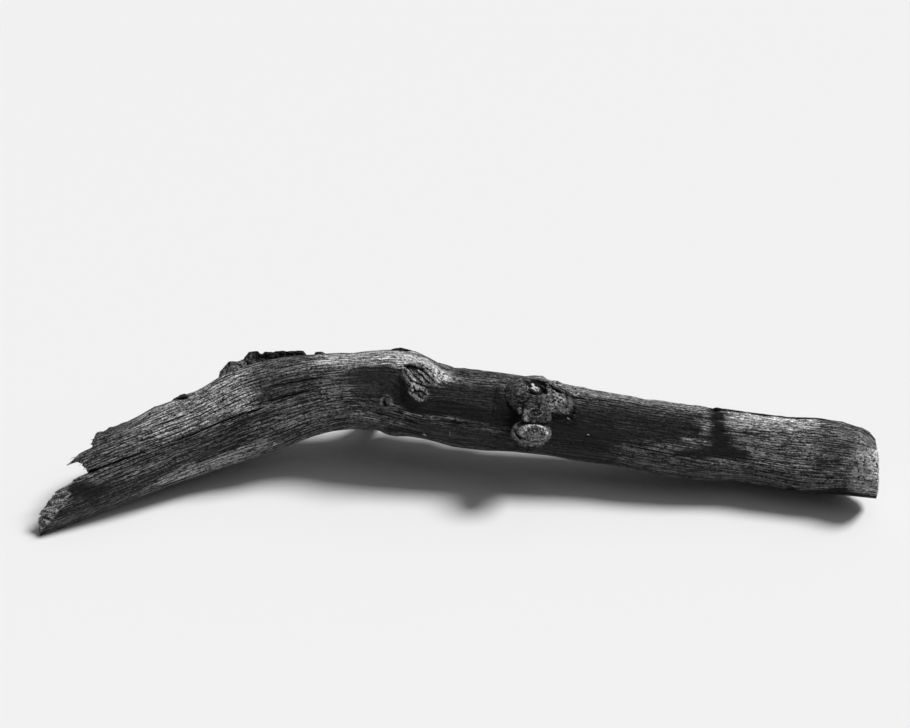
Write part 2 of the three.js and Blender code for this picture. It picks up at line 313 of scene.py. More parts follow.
STATIONS = np.array(
    [
        # x, y, z, mean radius
        (-101.0, -17.6, 4.0, 8.8), (-90.0, -13.0, 6.4, 8.9), (-77.5, -7.6, 8.8, 9.1),
        (-63.0, -1.6, 11.2, 9.6), (-49.0, 4.0, 14.4, 10.9), (-36.0, 7.0, 16.9, 10.0),
        (-24.0, 7.4, 18.5, 9.1), (-13.0, 6.2, 18.4, 10.3), (-3.0, 3.6, 16.7, 9.45),
        (10.0, 2.0, 15.7, 9.3), (28.0, 0.2, 14.0, 8.8), (46.0, -1.6, 11.9, 8.35),
        (64.0, -3.5, 10.0, 8.4), (80.0, -5.2, 8.5, 8.65), (92.0, -8.0, 9.1, 8.1),
        (104.0, -13.6, 10.9, 7.3),
    ]
)

LUMPS = (
    Lump(19.6, 15, 8.4, 9.2, 1.7, 0.5),  # collar of the two stubs
    Lump(18.8, 50, 4, 6.5, 1.3, 0.45),  # neck above the lower stub
    Lump(-8.6, 24, 4.8, 6.8, 1.1, 0.5),  # healed knot at the bend
    Lump(-20, 192, 26, 9, 1.3, 0.35),  # keel along the hidden underside of the bend
    Lump(-4.5, 247.6, 10.5, 9.7, 2.9, 0.53),  # swelling on the back
    Lump(8, 246, 8, 9, 1.1, 0.3),
    Lump(-18.5, 136, 4.5, 7, -0.9, 0.3),  # step under the bend
    Lump(-6, 136, 8, 7, -0.75, 0.3),
    Lump(19, 136, 12, 7, -0.5, 0.3),
    Lump(101, 226, 13, 10, -4.2, 0.25),  # the back of the cut end is gone
    Lump(92, 98, 15, 8, 0.45, 0.2),
    Lump(54, 104, 18, 8, 1, 0.3),
    Lump(84, 78, 13, 8, 0.8, 0.3),
    Lump(73, 132, 14, 6, -0.5, 0.4),
    Lump(-60, 78, 18, 8, -1, 0.3),
    Lump(-18, 214, 9, 9, 1.5, 0.3),  # collar of the back stub
    Lump(-75.2, -40, 6.5, 8, -0.9, 0.3),  # small rises and dips along the top
    Lump(-57, -40, 5.5, 8, -0.7, 0.2),
    Lump(-29, -40, 9, 8, -0.3, 0.4),
    Lump(-11.8, -40, 1.8, 8, 0.3, 0.2),
    Lump(-5, -40, 4.2, 8, -0.6, 0.2),
    Lump(1.2, -40, 2.4, 8, 0.3, 0.2),
    Lump(10, -40, 10, 8, 0.3, 0.5),
    Lump(21.4, -24, 1.9, 5, -0.6, 0.3),
    Lump(35, -40, 5.5, 8, -0.2, 0.3),
    Lump(43, -40, 3.5, 8, -0.3, 0.2),
    Lump(57.5, -40, 4, 8, 0.25, 0.3),
    Lump(90, -40, 13, 8, 0.75, 0.2),
    Lump(45, 238, 5, 4.5, 0.9, 0.4),  # healed knot on the back
    Lump(45, 238, 1.8, 1.6, -0.8, 0.3),
    Lump(-62, 236, 16, 3.4, -0.6, 0.4),  # long hollows on the back
    Lump(80, 262, 12, 3, -0.5, 0.4),
)

KNOTS = (
    Knot(18.2, 74, 2.6, 1.2),
    Knot(-8.8, 26, 2.6, 1.3),
    Knot(-15.2, 66, 0.9, 1.2),
    Knot(-21.3, 89, 0.6, 1.4),
    Knot(45, 238, 4, 1.3),
    Knot(-18, 214, 5, 1.3),
)

BREAK = np.array(
    [
        # degrees, x of the rim, x of the crest of the torn face
        (-40, -79.5, -79.2), (-20, -81.8, -81.2), (0, -83.4, -82.8),
        (6, -83.5, -83.0), (7.6, -84.2, -83.4), (8.6, -86.0, -84.0),
        (10.0, -87.6, -85.0), (10.9, -88.6, -85.6), (11.4, -89.5, -86.0),
        (12.0, -89.6, -86.0), (12.8, -88.5, -86.0), (14.2, -87.4, -86.0),
        (16.4, -87.0, -86.0), (19.4, -86.7, -86.1), (21.0, -87.3, -86.2),
        (22.2, -86.5, -86.2), (24.6, -87.1, -86.2), (26.0, -86.3, -86.2),
        (30.0, -86.9, -86.3), (31.6, -86.2, -86.3), (36.0, -86.6, -86.3),
        (37.4, -86.0, -86.3), (43.0, -86.2, -86.3), (44.0, -89.5, -89.7),
        (47.0, -89.6, -90.4), (48.6, -90.2, -92.9), (54, -90.6, -93.9),
        (60, -90.8, -95.2), (72, -91.9, -97.1), (84, -94.4, -98.4),
        (96, -97.9, -99.2), (108, -99.8, -99.8), (120, -100.6, -99.4),
        (135, -99.5, -97.2), (150, -94.5, -92.6), (165, -86.5, -88.0),
        (180, -80.5, -84.0), (200, -76.5, -79.0), (240, -75.8, -77.6),
        (280, -76.6, -77.6), (320, -79.5, -79.0),
    ],
    dtype=float,
)
CREST_SHARE = 0.65  # share of the radius at which the torn face has its crest
BREAK_CENTRE_X = -84.0
BREAK_MEET_X = -74.0  # from here on the limb is whole

# A point on the plane of the cut end, and how far the plane runs in x per mm of y and of z
CUT_X, CUT_Y, CUT_Z = 99.3, -11.0, 10.0
CUT_PER_Y, CUT_PER_Z = 0.12, -0.1

# The torn limb: its bleached back, its stains and its pale streaks
TORN_LIMB_MARKS = (
    Mark(((-76, 4, 6), (-62, 2, 8), (-50, 2, 7)), 0.44, 0.85, 0.5, 2.4),
    Mark(((-55, -22, 3), (-50, -16, 3)), 0.42, 0.8, 0.5, 1.6),
    Mark(((-40, -22, 5), (-33, -24, 3.4)), 0.13, 0.85, 0.5, 1.4),
    Mark(((-87, 24, 4.5), (-78, 32, 5.5)), 0.13, 0.75, 0.5, 2),
    Mark(((-82, -14, 3.6), (-77, -20, 3.6)), 0.08, 0.75, 0.5, 1.2),
    Mark(((-98, 102, 3.2), (-88, 104, 3.8)), 0.12, 0.9, 0.5, 1.2, calm=0.3),
    Mark(((-97, 89, 1.4), (-86, 85, 2.2), (-75, 90, 2), (-64, 92, 1.5)), 0.04, 0.9, 0.5, 1.4),
    Mark(((-91, 60, 1.5), (-89, 66, 2.3), (-85.5, 74, 2)), 0.010, 0.98, 0.35, 0.8, calm=0.4),
    Mark(
        ((-73, 104, 1.6), (-65, 106, 2.3), (-56, 109, 2.6), (-46, 104, 1.8)),
        0.42, 0.8, 0.5, 1.2, calm=0.2,
    ),
    Mark(((-75, 58, 2), (-64, 62, 3.6), (-53, 66, 2.8)), 0.065, 0.75, 0.6, 2.4),
    Mark(((-57, 80, 2.2), (-63, 84, 1.8)), 0.05, 0.75, 0.6, 1.2),
    Mark(((-46, 8, 2.6), (-41, 24, 4.2), (-34, 30, 2.8)), 0.085, 0.85, 0.5, 1.8),
    Mark(((-43.5, 26, 0.9), (-34, 29, 0.5)), 0.025, 0.9, 0.5, 0.8, lift=-0.15),
    Mark(((-46, 36, 2), (-33, 38, 1.8)), 0.06, 0.75, 0.6, 1.2),
    Mark(((-54, 51.8, 0.45), (-47, 54, 0.45)), 0.5, 0.9, 0.5, 0.4, lift=0.15),
    Mark(((-53, 56, 0.8), (-45, 58.5, 1.1)), 0.025, 0.9, 0.5, 0.8),
    Mark(((-30.5, -8, 2.6), (-23, -7, 3.5), (-12, -10, 3.6)), 0.62, 0.9, 0.45, 1.4),
    Mark(((-38, -22, 3), (-33, -10, 2.6)), 0.14, 0.8, 0.5, 1.4),
    Mark(((-40, 96, 3), (-28, 98, 3.4), (-18, 96, 3)), 0.22, 0.8, 0.6, 1.6),
    Mark(((-83.5, 20, 0.45),), 0.02, 0.9, 0.5, 0.2, lift=-0.3),  # pits near the break
    Mark(((-84.5, 26, 0.4),), 0.02, 0.9, 0.5, 0.2, lift=-0.3),
    Mark(((-66, 86, 1.5), (-56, 86, 1.5)), 0.05, 0.5, 0.6, 1),
    Mark(((-47, 72, 2), (-33, 70, 2)), 0.06, 0.4, 0.6, 1),
    Mark(((-47, 42, 1.5), (-26, 42, 1.5)), 0.04, 0.4, 0.6, 1),
    Mark(((-46, 98, 1.6), (-42, 96, 1.6)), 0.05, 0.5, 0.6, 1),
    Mark(((-30, 101, 1.2), (-16, 101, 1.2)), 0.20, 0.5, 0.6, 1),
    Mark(((-47, -20, 1.8), (-43, -20, 1.8)), 0.10, 0.45, 0.6, 1),
    Mark(((-37, 10, 1.6), (-31, 11, 1.6)), 0.30, 0.5, 0.6, 1),
)

# The long drying crack, in its two runs, and the short ones beside it
CRACK_MARKS = (
    Mark(
        ((-86.6, 43, 0.32), (-84, 44, 0.24), (-79, 44.6, 0.2), (-74.4, 45, 0.12)),
        0.006, 1, 0.35, 0.05, lift=-0.7,
    ),
    Mark(
        ((-71.5, 45.4, 0.10), (-66, 46, 0.15), (-60, 46.5, 0.16), (-54, 47.6, 0.18)),
        0.006, 1, 0.35, 0.06, lift=-0.7,
    ),
    Mark(((-54, 47.6, 0.18), (-50, 49.6, 0.17), (-46, 51.6, 0.08)), 0.006, 1, 0.35, 0.06, lift=-0.7),
    Mark(
        ((-47, 44.6, 0.10), (-42, 46.3, 0.17), (-37, 47, 0.17), (-31, 45, 0.08)),
        0.008, 1, 0.35, 0.06, lift=-0.6,
    ),
    Mark(((-42, 27.5, 0.10), (-37, 29.5, 0.15), (-30, 29.5, 0.08)), 0.015, 0.95, 0.4, 0.08, lift=-0.4),
    Mark(((-45, 60, 0.08), (-38, 61, 0.12), (-33, 60, 0.08)), 0.02, 0.9, 0.4, 0.08, lift=-0.3),
    Mark(((-70, 14.5, 0.08), (-64, 15.5, 0.13), (-58, 17, 0.08)), 0.02, 0.9, 0.4, 0.08, lift=-0.35),
    Mark(((-76, 28, 0.08), (-68, 29, 0.12), (-61, 31, 0.08)), 0.02, 0.9, 0.4, 0.08, lift=-0.35),
    Mark(((-52, 90, 0.08), (-44, 92, 0.11), (-36, 92, 0.08)), 0.02, 0.8, 0.4, 0.08, lift=-0.25),
    Mark(((62.5, 26.5, 0.08), (68, 25, 0.13), (72, 24, 0.08)), 0.015, 0.95, 0.4, 0.1, lift=-0.3),
    Mark(((80, 10.5, 0.10), (84, 9, 0.2), (86, 9, 0.10)), 0.015, 0.95, 0.4, 0.1, lift=-0.3),
    Mark(((71, 17, 0.08), (76, 15.5, 0.12), (80, 16, 0.08)), 0.02, 0.9, 0.4, 0.1, lift=-0.3),
)

# The bend: the dark patch with its crisp upper edge, what runs on from it, and the knots
BEND_MARKS = (
    Mark(
        ((-23.8, 30, 1.8), (-20.5, 28, 2), (-15.6, 27, 2), (-13.2, 31, 1.7)),
        0.022, 0.97, 0.35, 1, calm=0.2,
    ),
    Mark(((-23, 41, 1.8), (-16, 41, 2.6), (-12, 47, 2.8)), 0.022, 0.95, 0.25, 0.6, calm=0.6),
    Mark(((-22, 54, 1.8), (-18, 52, 2.2)), 0.045, 0.85, 0.5, 0.8, calm=0.5),
    Mark(((-21, 66, 1.4), (-23, 62, 1.2)), 0.055, 0.7, 0.5, 0.8, calm=0.4),
    Mark(((-12.6, 36, 1.1), (-12.2, 50, 2), (-8, 61, 2), (-4, 58, 1.8)), 0.009, 0.97, 0.3, 0.5, calm=0.5),
    Mark(((-9, 75, 0.5), (-4, 70.5, 0.5), (-1, 68.5, 0.3)), 0.30, 0.85, 0.6, 1.3, lift=0.15),
    Mark(((0, 68, 0.3), (7, 71, 0.3)), 0.34, 0.85, 0.6, 0.9, lift=0.15),
    Mark(((-8, 80, 0.9), (-1, 75, 0.9), (7, 76, 0.7), (12, 82, 0.6)), 0.14, 0.8, 0.5, 1.4, lift=0.1),
    Mark(((-5, 76.5, 0.12), (1, 73, 0.15), (8, 75.5, 0.12)), 0.02, 0.8, 0.5, 0.8, lift=-0.2),
    Mark(((-19.5, 98, 0.9), (-17, 99, 0.8)), 0.55, 0.8, 0.5, 0.4),
    Mark(((-6, 98, 3), (6, 98, 3.4), (14, 102, 3.4)), 0.045, 0.9, 0.5, 0.8, calm=0.6),
    Mark(((-14, 112, 1.6), (-6, 114, 1.8)), 0.02, 0.8, 0.5, 0.5, calm=0.5),
    # healed, fissured knot
    Mark(((-13.2, -6, 2), (-8.5, 0, 3), (-4, 0, 2.4)), 0.5, 0.9, 0.4, 0.8, calm=0.5, wool=0.7),
    Mark(
        ((-9.7, 21, 2.7), (-7.6, 24, 2.9)),
        0.26, 0.97, 0.16, 0.4, lift=0.25, calm=0.7, wool=0.9, plates=1,
    ),
    Mark(((-6, 3, 2.2), (-3.2, 10, 1.9)), 0.60, 0.9, 0.4, 0.9, lift=0.1, calm=0.4, wool=0.9, plates=0.9),
    Mark(
        ((-8.4, 39, 1.9), (-7.3, 44, 1.5), (-7.4, 49, 0.7)),
        0.34, 0.97, 0.16, 0.3, lift=0.3, calm=0.7, wool=0.9, plates=1,
    ),
    Mark(
        ((-12.4, 12, 0.25), (-11.4, 15.5, 0.5), (-10.2, 15, 0.4), (-8.8, 13, 0.2)),
        0.006, 1, 0.3, 0.15, lift=-0.7, plates=0,
    ),
    Mark(
        ((-12.6, 18, 0.08), (-11.8, 25, 0.13), (-10.8, 31, 0.1), (-9.8, 33, 0.1)),
        0.02, 0.9, 0.4, 0.25, lift=-0.3,
    ),
    Mark(((-10.4, 33.5, 0.14), (-8, 33, 0.2), (-5.6, 34.4, 0.1)), 0.006, 1, 0.35, 0.3, lift=-0.6),
    Mark(((-11.2, 17, 0.1), (-8.8, 21, 0.16), (-6.4, 28, 0.1)), 0.012, 1, 0.4, 0.2, lift=-0.4),
    Mark(((-9.6, 13, 0.1), (-7.2, 18, 0.16), (-5.2, 24, 0.1)), 0.012, 1, 0.4, 0.2, lift=-0.4),
    Mark(((-10.6, 24, 0.1), (-9.2, 27, 0.14), (-8, 31, 0.1)), 0.012, 1, 0.4, 0.2, lift=-0.4),
    Mark(((-9.5, 38, 0.1), (-8.7, 42, 0.16), (-9.1, 46.5, 0.1)), 0.010, 1, 0.4, 0.1, lift=-0.5),
    Mark(((-8.7, 42.2, 0.1), (-7.4, 40.4, 0.15), (-6.2, 42.5, 0.1)), 0.012, 1, 0.4, 0.1, lift=-0.4),
    Mark(((-7.6, 46, 0.22), (-7.2, 47, 0.12)), 0.012, 1, 0.4, 0.1, lift=-0.4),
    # small ringed knot, and the pits near it
    Mark(((-15.2, 66, 1.75),), 0.06, 0.9, 0.3, 0.3, calm=0.6, wool=0.5),
    Mark(((-15.2, 66, 1.45),), 0.20, 0.95, 0.2, 0.35, lift=0.25, calm=0.6, wool=0.6),
    Mark(((-15.1, 66.5, 0.95),), 0.012, 0.97, 0.3, 0.3, lift=-0.25, calm=0.8, wool=0.3),
    Mark(((-15.1, 65.6, 0.55),), 0.14, 0.9, 0.35, 0.3, lift=0.25, calm=0.8, wool=0.4),
    Mark(((-15.2, 65, 0.14), (-15, 69.5, 0.3)), 0.006, 1, 0.4, 0.1, lift=-0.3),
    Mark(((-16.4, 60, 0.1), (-15.4, 58, 0.1), (-14.4, 60, 0.1)), 0.02, 0.9, 0.4, 0.1, lift=-0.2),
    Mark(((-15, 80, 0.8), (-13, 80, 0.5)), 0.16, 0.7, 0.4, 0.3),
    Mark(((-21.3, 88.5, 1.1),), 0.30, 0.8, 0.4, 0.2, lift=0.15),
    Mark(((-21.3, 89, 0.6),), 0.008, 1, 0.3, 0.1, lift=-0.3),
    Mark(((-27.5, 96, 0.35),), 0.02, 1, 0.4, 0.1, lift=-0.25),
    Mark(((-23, 95.5, 0.25),), 0.03, 1, 0.4, 0.1, lift=-0.2),
    Mark(((-8.3, 85.5, 0.5), (-7.6, 84.5, 0.35)), 0.012, 1, 0.4, 0.2, lift=-0.3),
)

# The cluster of stubs: its collar, and the shade round it
CLUSTER_MARKS = (
    Mark(
        ((-3, 36, 3.4), (4, 42, 4.4), (12, 44, 4.6), (22, 48, 4.8), (32, 48, 4.8)),
        0.022, 0.95, 0.35, 1, calm=0.2,
    ),
    Mark(((-2, 56, 1.8), (5, 58, 2), (13, 58, 2.2)), 0.010, 0.9, 0.4, 0.8, calm=0.3),
    Mark(((9.4, 16, 0.8), (9.8, 34, 1.3), (12, 46, 1.6), (14, 58, 1.5)), 0.007, 0.95, 0.5, 0.4, calm=0.3),
    Mark(((18.5, -10, 5),), 0.10, 0.85, 0.4, 0.6, calm=0.3, wool=0.6),
    # body of the collar: its left wall, its wrinkled front and its scaly right part
    Mark(
        ((14.7, 8, 3), (14.9, 24, 2.9), (17.5, 32, 2.5), (21, 31, 2.4), (24.2, 24, 2.5), (24.4, 30, 2.3)),
        0.07, 0.97, 0.16, 0.6, lift=0.35, calm=0.5, wool=1.1, plates=0.3,
    ),
    Mark(
        ((22.4, 20, 2.3), (24.3, 26, 2.6), (24.4, 34, 2.2), (23.4, 39, 1.4)),
        0.125, 0.95, 0.3, 0.6, calm=0.3, wool=1, plates=0.6,
    ),
    Mark(((20.6, 2, 0.7), (21.6, 10, 1.1), (21.8, 16, 1)), 0.22, 0.9, 0.4, 0.5, lift=0.2, calm=0.4, wool=1),
    Mark(
        ((23.2, 16, 0.8), (24.2, 24, 1.1), (22.8, 30, 0.9)),
        0.30, 0.85, 0.4, 0.8, calm=0.3, wool=1, plates=0.7,
    ),
    Mark(
        ((14, 2, 0.9), (14.4, 12, 1.1), (14.9, 24, 0.8)),
        0.14, 0.85, 0.4, 0.5, lift=0.2, calm=0.5, wool=1,
    ),
    Mark(((12.4, 8, 0.5), (12.6, 24, 0.6), (13.4, 36, 0.5)), 0.075, 0.8, 0.5, 0.4, calm=0.6, wool=0.9),
    Mark(
        ((23.4, -9, 1.7), (25.8, -5, 1.7), (28, -1, 1.1)),
        0.30, 0.9, 0.4, 0.9, calm=0.2, wool=1.2, plates=1,
    ),
    Mark(((27.8, -14, 1.5), (33, -8, 1.3), (42, -8, 0.8)), 0.34, 0.8, 0.5, 1.2, wool=0.8),
    # painted shade: a dark line in the crease along the collar's left wall
    Mark(
        ((11.5, 12, 0.1), (11.5, 26, 0.22), (12.2, 39, 0.24), (14.4, 47, 0.25)),
        0.010, 0.9, 0.6, 0.4, lift=-0.25,
    ),
    # painted shadow: a near-black line just outside the collar's lower right edge, where its shadow falls
    Mark(
        ((22, 46, 0.6), (24.4, 47, 0.7), (26.6, 43, 0.5), (27.5, 35, 0.3), (27.5, 22, 0.16)),
        0.005, 0.97, 0.4, 0.4, lift=-0.35,
    ),
    Mark(
        (
            (20.4, -8, 0.2), (21.2, 0, 0.32), (22.4, 9, 0.4), (23.6, 13, 0.42), (26, 11.5, 0.35),
            (28.6, 8.5, 0.25), (34, 5, 0.1),
        ),
        0.003, 1, 0.3, 0.15, lift=-0.9,
    ),
    Mark(((13.2, 14, 0.08), (15.2, 17, 0.12), (15.8, 26, 0.08)), 0.022, 0.9, 0.5, 0.4, lift=-0.2),
    Mark(((13, 27, 0.08), (16.2, 30, 0.12), (20.4, 30.5, 0.1)), 0.022, 0.9, 0.5, 0.6, lift=-0.2),
    Mark(((14, 35, 0.08), (17.2, 36.5, 0.12), (21.6, 36, 0.1)), 0.022, 0.9, 0.5, 0.6, lift=-0.2),
    Mark(((15.6, 41, 0.08), (18.2, 41.5, 0.1), (21.6, 40.5, 0.08)), 0.022, 0.9, 0.5, 0.6, lift=-0.2),
    Mark(((22.4, 21, 0.08), (22, 26, 0.12), (23.2, 34, 0.08)), 0.03, 0.9, 0.5, 0.4, lift=-0.2),
    Mark(((25.6, 19, 0.08), (26, 24, 0.12), (25.2, 31, 0.08)), 0.03, 0.9, 0.5, 0.4, lift=-0.2),
    # the hollow of the upper stub and the shrunken heart that stands in it
    Mark(((18.3, 10.5, 2.95),), 0.10, 0.9, 0.15, 0.3, lift=0.15, calm=0.8, wool=0.9),
    Mark(((15.9, -3.5, 0.3), (18.3, -8.5, 0.4), (20.6, -5, 0.35)), 0.17, 0.9, 0.4, 0.2, calm=0.8, wool=0.9),
    Mark(((20.4, 17, 0.5), (21.2, 12, 0.4)), 0.15, 0.9, 0.4, 0.3, calm=0.8, wool=0.9),
    # painted shade: the hollow round the heart is painted near black as well as sunk
    Mark(((18.3, 10.3, 2.5),), 0.005, 1, 0.10, 0.55, lift=-1.1, calm=0.8, wool=0.3),
    Mark(((17.6, 11.4, 0.8), (18.1, 16.4, 0.9)), 0.58, 1, 0.2, 0.55, lift=1.3, calm=0.8, wool=0.8),
    Mark(((18.1, 9.6, 0.3),), 0.006, 1, 0.4, 0.1, lift=-0.4),
    Mark(((18.4, 16.6, 0.3),), 0.006, 1, 0.4, 0.1, lift=-0.5),
    Mark(((17.5, 13.6, 0.14),), 0.03, 1, 0.4, 0.1, lift=-0.4),
    Mark(((16.4, 5, 0.3),), 0.06, 0.9, 0.4, 0.2, lift=0.4),
    Mark(((19.9, 3, 0.34), (20.2, 6, 0.25)), 0.07, 0.9, 0.4, 0.2, lift=0.5),
    Mark(((20, 19, 0.25),), 0.06, 0.9, 0.4, 0.2, lift=0.4),
    Mark(((24, 50, 1.6), (27, 52, 1.3)), 0.008, 0.95, 0.4, 0.5, lift=-0.2),
    Mark(((15.1, 43.2, 0.35), (15.6, 45.2, 0.42), (15.4, 48, 0.2)), 0.34, 1, 0.3, 0.1, lift=0.5, calm=0.8),
    Mark(((15.7, 43, 0.15), (16.1, 45.5, 0.14)), 0.012, 1, 0.4, 0.05, lift=-0.4),
)

# The cut limb: the dark front, the scar band, the bleached top and the woolly end
CUT_LIMB_MARKS = (
    Mark(((21, -24, 2.4), (34, -22, 2.6), (48, -22, 2.4), (59, -20, 2.2)), 0.34, 0.85, 0.6, 1.6),
    Mark(((31.5, 20, 2.4), (44, 16, 2.4), (56, 18, 2.2)), 0.055, 0.8, 0.7, 1.5),
    Mark(((33, 48, 4.5), (38, 46, 4.8), (52, 38, 3.6), (58, 34, 2.4)), 0.018, 0.95, 0.35, 1.6),
    Mark(((25, 76, 4.6), (34, 76, 4.4)), 0.014, 0.95, 0.4, 1.2, calm=0.5),
    Mark(((14, 100, 4), (26, 104, 3.6), (36, 106, 3)), 0.04, 0.9, 0.5, 1, calm=0.6),
    Mark(((40, 92, 2), (44, 87, 2.4), (52, 84, 2.6), (56, 92, 2.4)), 0.12, 0.8, 0.5, 1.6),
    Mark(((44, 104, 3), (56, 106, 3), (70, 108, 3)), 0.14, 0.85, 0.5, 1.4, calm=0.3),
    Mark(((50, 70, 1.2), (55, 60, 1.1), (58.5, 50, 0.8)), 0.13, 0.85, 0.5, 1),
    Mark(((63.5, -14, 2.2), (72, -10, 3.2), (84, -16, 2.4)), 0.80, 0.92, 0.35, 1.2),
    Mark(((64, 10, 1.6), (70, 8, 2), (80, 0, 1.4)), 0.46, 0.85, 0.5, 1.8),
    Mark(((66, 34, 2.4), (76, 38, 3.6)), 0.16, 0.8, 0.6, 1.8),
    Mark(((57.6, 14, 0.3), (58.6, 26, 0.4), (58.6, 38, 0.3)), 0.35, 0.9, 0.5, 0.9),
    Mark(
        ((60.9, -36, 1.8), (60.9, -4, 1.8), (61, 14, 1.8), (61.6, 28, 1.8), (62.4, 42, 2)),
        0.007, 0.99, 0.25, 0.8, lift=-0.15,
    ),
    Mark(((62.4, 44, 2.2), (63.8, 54, 2.1)), 0.006, 0.99, 0.3, 0.6),
    Mark(((52, 73.5, 0.6), (57, 68, 1.25), (62, 63.5, 1.8), (68.2, 62, 1.2)), 0.007, 0.98, 0.35, 0.9),
    Mark(((54, 50, 0.35), (59.4, 47, 0.4)), 0.26, 0.85, 0.5, 0.4, lift=0.1),
    Mark(((87, 62, 1.6), (91, 63, 1.6)), 0.05, 0.9, 0.5, 1.2),
    Mark(((88, 28, 2.2), (93, 30, 2)), 0.07, 0.7, 0.6, 1.6),
    Mark(((83.5, -3, 0.5),), 0.03, 0.9, 0.4, 0.3, lift=-0.3),
    Mark(((74, 96, 3), (86, 92, 3)), 0.20, 0.7, 0.6, 1.6),
    Mark(((80, 118, 1.2), (90, 114, 2), (93, 104, 1.6), (101, 118, 2.4)), 0.014, 0.97, 0.3, 0.7),
    Mark(((86, 124, 1.6), (101, 126, 2.6)), 0.02, 0.9, 0.5, 0.5),
    Mark(((98.2, 26, 2.8), (98.2, 50, 3.2), (98.4, 68, 3)), 0.34, 0.9, 0.3, 0.9, calm=0.7, wool=1.3),
    Mark(((98.3, 84, 2.6), (98.6, 98, 2)), 0.40, 0.85, 0.4, 0.9, calm=0.4, wool=1),
    Mark(((96.5, 0, 2.6), (97.5, 16, 2.4)), 0.19, 0.8, 0.4, 0.9, calm=0.4, wool=0.9),
)

# Light fibres that reach into the dark band, by their degrees and by how much further they reach
TEETH = ((-10, 0.2), (2, -0.3), (11, 0.5), (15, 0), (19, 0.6), (24, 0.1), (29, 0.5), (35, 0))
COMB_MARKS = tuple(
    Mark(((57.6, deg, 0.2), (59.4 + more, deg + 0.6, 0.08)), 0.42, 0.9, 0.5, lift=0.12) for deg, more in TEETH
)

# Thin dark bark that is left along the top, and stains and remains on the back
BARK_MARKS = (
    Mark(((-82, -46, 1), (-70, -45, 1.1), (-57, -46, 1)), 0.04, 0.9, 0.4, 1, lift=0.1),
    Mark(((-27, -44, 1.3), (-20, -44, 1.6), (-14, -46, 1.4)), 0.03, 0.95, 0.3, 0.7),
    Mark(
        ((60.5, -42, 2.2), (66, -41, 2), (76, -40, 1.6), (86, -42, 1.2), (91, -42, 0.6)),
        0.016, 0.95, 0.6, 1.8,
    ),
    Mark(((63, -60, 2), (72, -64, 2.6), (82, -58, 1.8)), 0.06, 0.6, 0.8, 2.4),
    Mark(((-20, -90, 3), (10, -100, 4), (40, -92, 3)), 0.09, 0.8, 0.5, 2),
    Mark(((-60, -100, 4), (-40, -130, 4)), 0.07, 0.8, 0.5, 2),
    Mark(((60, -120, 4), (84, -110, 3.6)), 0.10, 0.8, 0.5, 2),
    Mark(((44.5, 238, 1.6),), 0.02, 0.95, 0.5, 0.4),
)

MARKS = TORN_LIMB_MARKS + BEND_MARKS + CLUSTER_MARKS + CUT_LIMB_MARKS + COMB_MARKS + BARK_MARKS + CRACK_MARKS

# The two knots whose skin is modelled more finely
BEND_KNOT_SPAN = Span(-17.8, -2.6, -16.0, 84.0)
COLLAR_SPAN = Span(9.0, 31.0, -34.0, 66.0)

# Shares of the radius at the rings of the torn face and of the cut face, and the last station and
# the spacing of each stretch of whole rings between them
TORN_SHARES = (0.02, 0.16, 0.3, 0.42, 0.52, 0.6, 0.66, 0.72, 0.78, 0.84, 0.89, 0.93, 0.965, 0.99)
STRETCHES = ((57.0, 0.72), (64.0, 0.5), (89.0, 0.72))
CUT_SHARES = (0.967, 0.93, 0.87, 0.78, 0.66, 0.52, 0.38, 0.22, 0.05)

# Radius, height and tone of each stub's outline
CUT_OUTLINE = (
    (0.4, -6.5, 0.03), (3.2, -6.5, 0.03), (4.2, -2.2, 0.04), (4.75, -0.9, 0.07), (4.66, -0.15, 0.13),
    (4.2, 0.1, 0.14), (3.75, 0, 0.1), (3.4, 0.15, 0.17), (2.4, 0.3, 0.13), (1, 0.4, 0.14), (0.1, 0.45, 0.15),
)
NECK_OUTLINE = (
    (0.4, -4, 0.04), (3.5, -4, 0.04), (3.4, -0.9, 0.05), (3.3, 0.1, 0.06), (3, 0.4, 0.09),
    (2.2, 0.45, 0.07), (1.2, 0.5, 0.07), (0.1, 0.5, 0.07),
)
PROP_OUTLINE = (
    (0.4, -6, 0.1), (4.4, -6, 0.1), (3.1, -0.6, 0.12), (2.3, 3.4, 0.08), (2.5, 5.8, 0.13),
    (1.8, 8.6, 0.07), (2, 12, 0.1), (1.7, 13.6, 0.14), (1, 14, 0.2), (0.1, 13.7, 0.12),
)
CUT_ARCS = (
    # The first two arcs raise the end's upper lip and paint a highlight on it, where the lip catches the
    # light.
    Arc((0.5, -1), 2.9, 0.7, 15, 140, 0.8, 0.5),
    Arc((0.4, -0.7), 2.8, 0.8, 130, 170, 0.36, 0.05),
    Arc((0.6, -0.8), 2.4, 0.16, 0, 110, 0.03, -0.12),
    Arc((0.7, 0.3), 0, 0.24, tone=0.30, lift=0.05),
    Arc((0.7, 0.3), 0.6, 0.16, tone=0.025, lift=-0.08),
    Arc((0.7, 0.3), 1.05, 0.13, tone=0.2, lift=0.03),
    Arc((0.7, 0.2), 1.4, 0.14, 20, 260, 0.03, -0.06),
    Arc((0.7, 0), 2.2, 0.14, 200, 330, 0.05, -0.03),
    Arc((2.7, 0.5), 0, 0.28, tone=0.008, lift=-0.3),
    Arc((3.2, -0.3), 0, 0.24, tone=0.4, lift=0.1),
    Arc((3.1, 1.2), 0, 0.32, tone=0.4, lift=0.1),
    Arc((1.6, -1.4), 0, 0.28, tone=0.35, lift=0.05),
    Arc((0.7, 0.1), 3.3, 0.12, -80, 10, 0.22, 0.05),
    Arc((0.7, 0.1), 3.3, 0.16, 190, 280, 0.17, 0.05),
    Arc((0.9, 0.9), 4.75, 0.3, 184, 222, 0.005, -0.5),
    Arc((0.7, 0.9), 4.2, 0.14, 222, 300, 0.03, -0.2),
    Arc((0.5, 0.3), 4.5, 0.16, -60, 60, 0.02, -0.2),
)
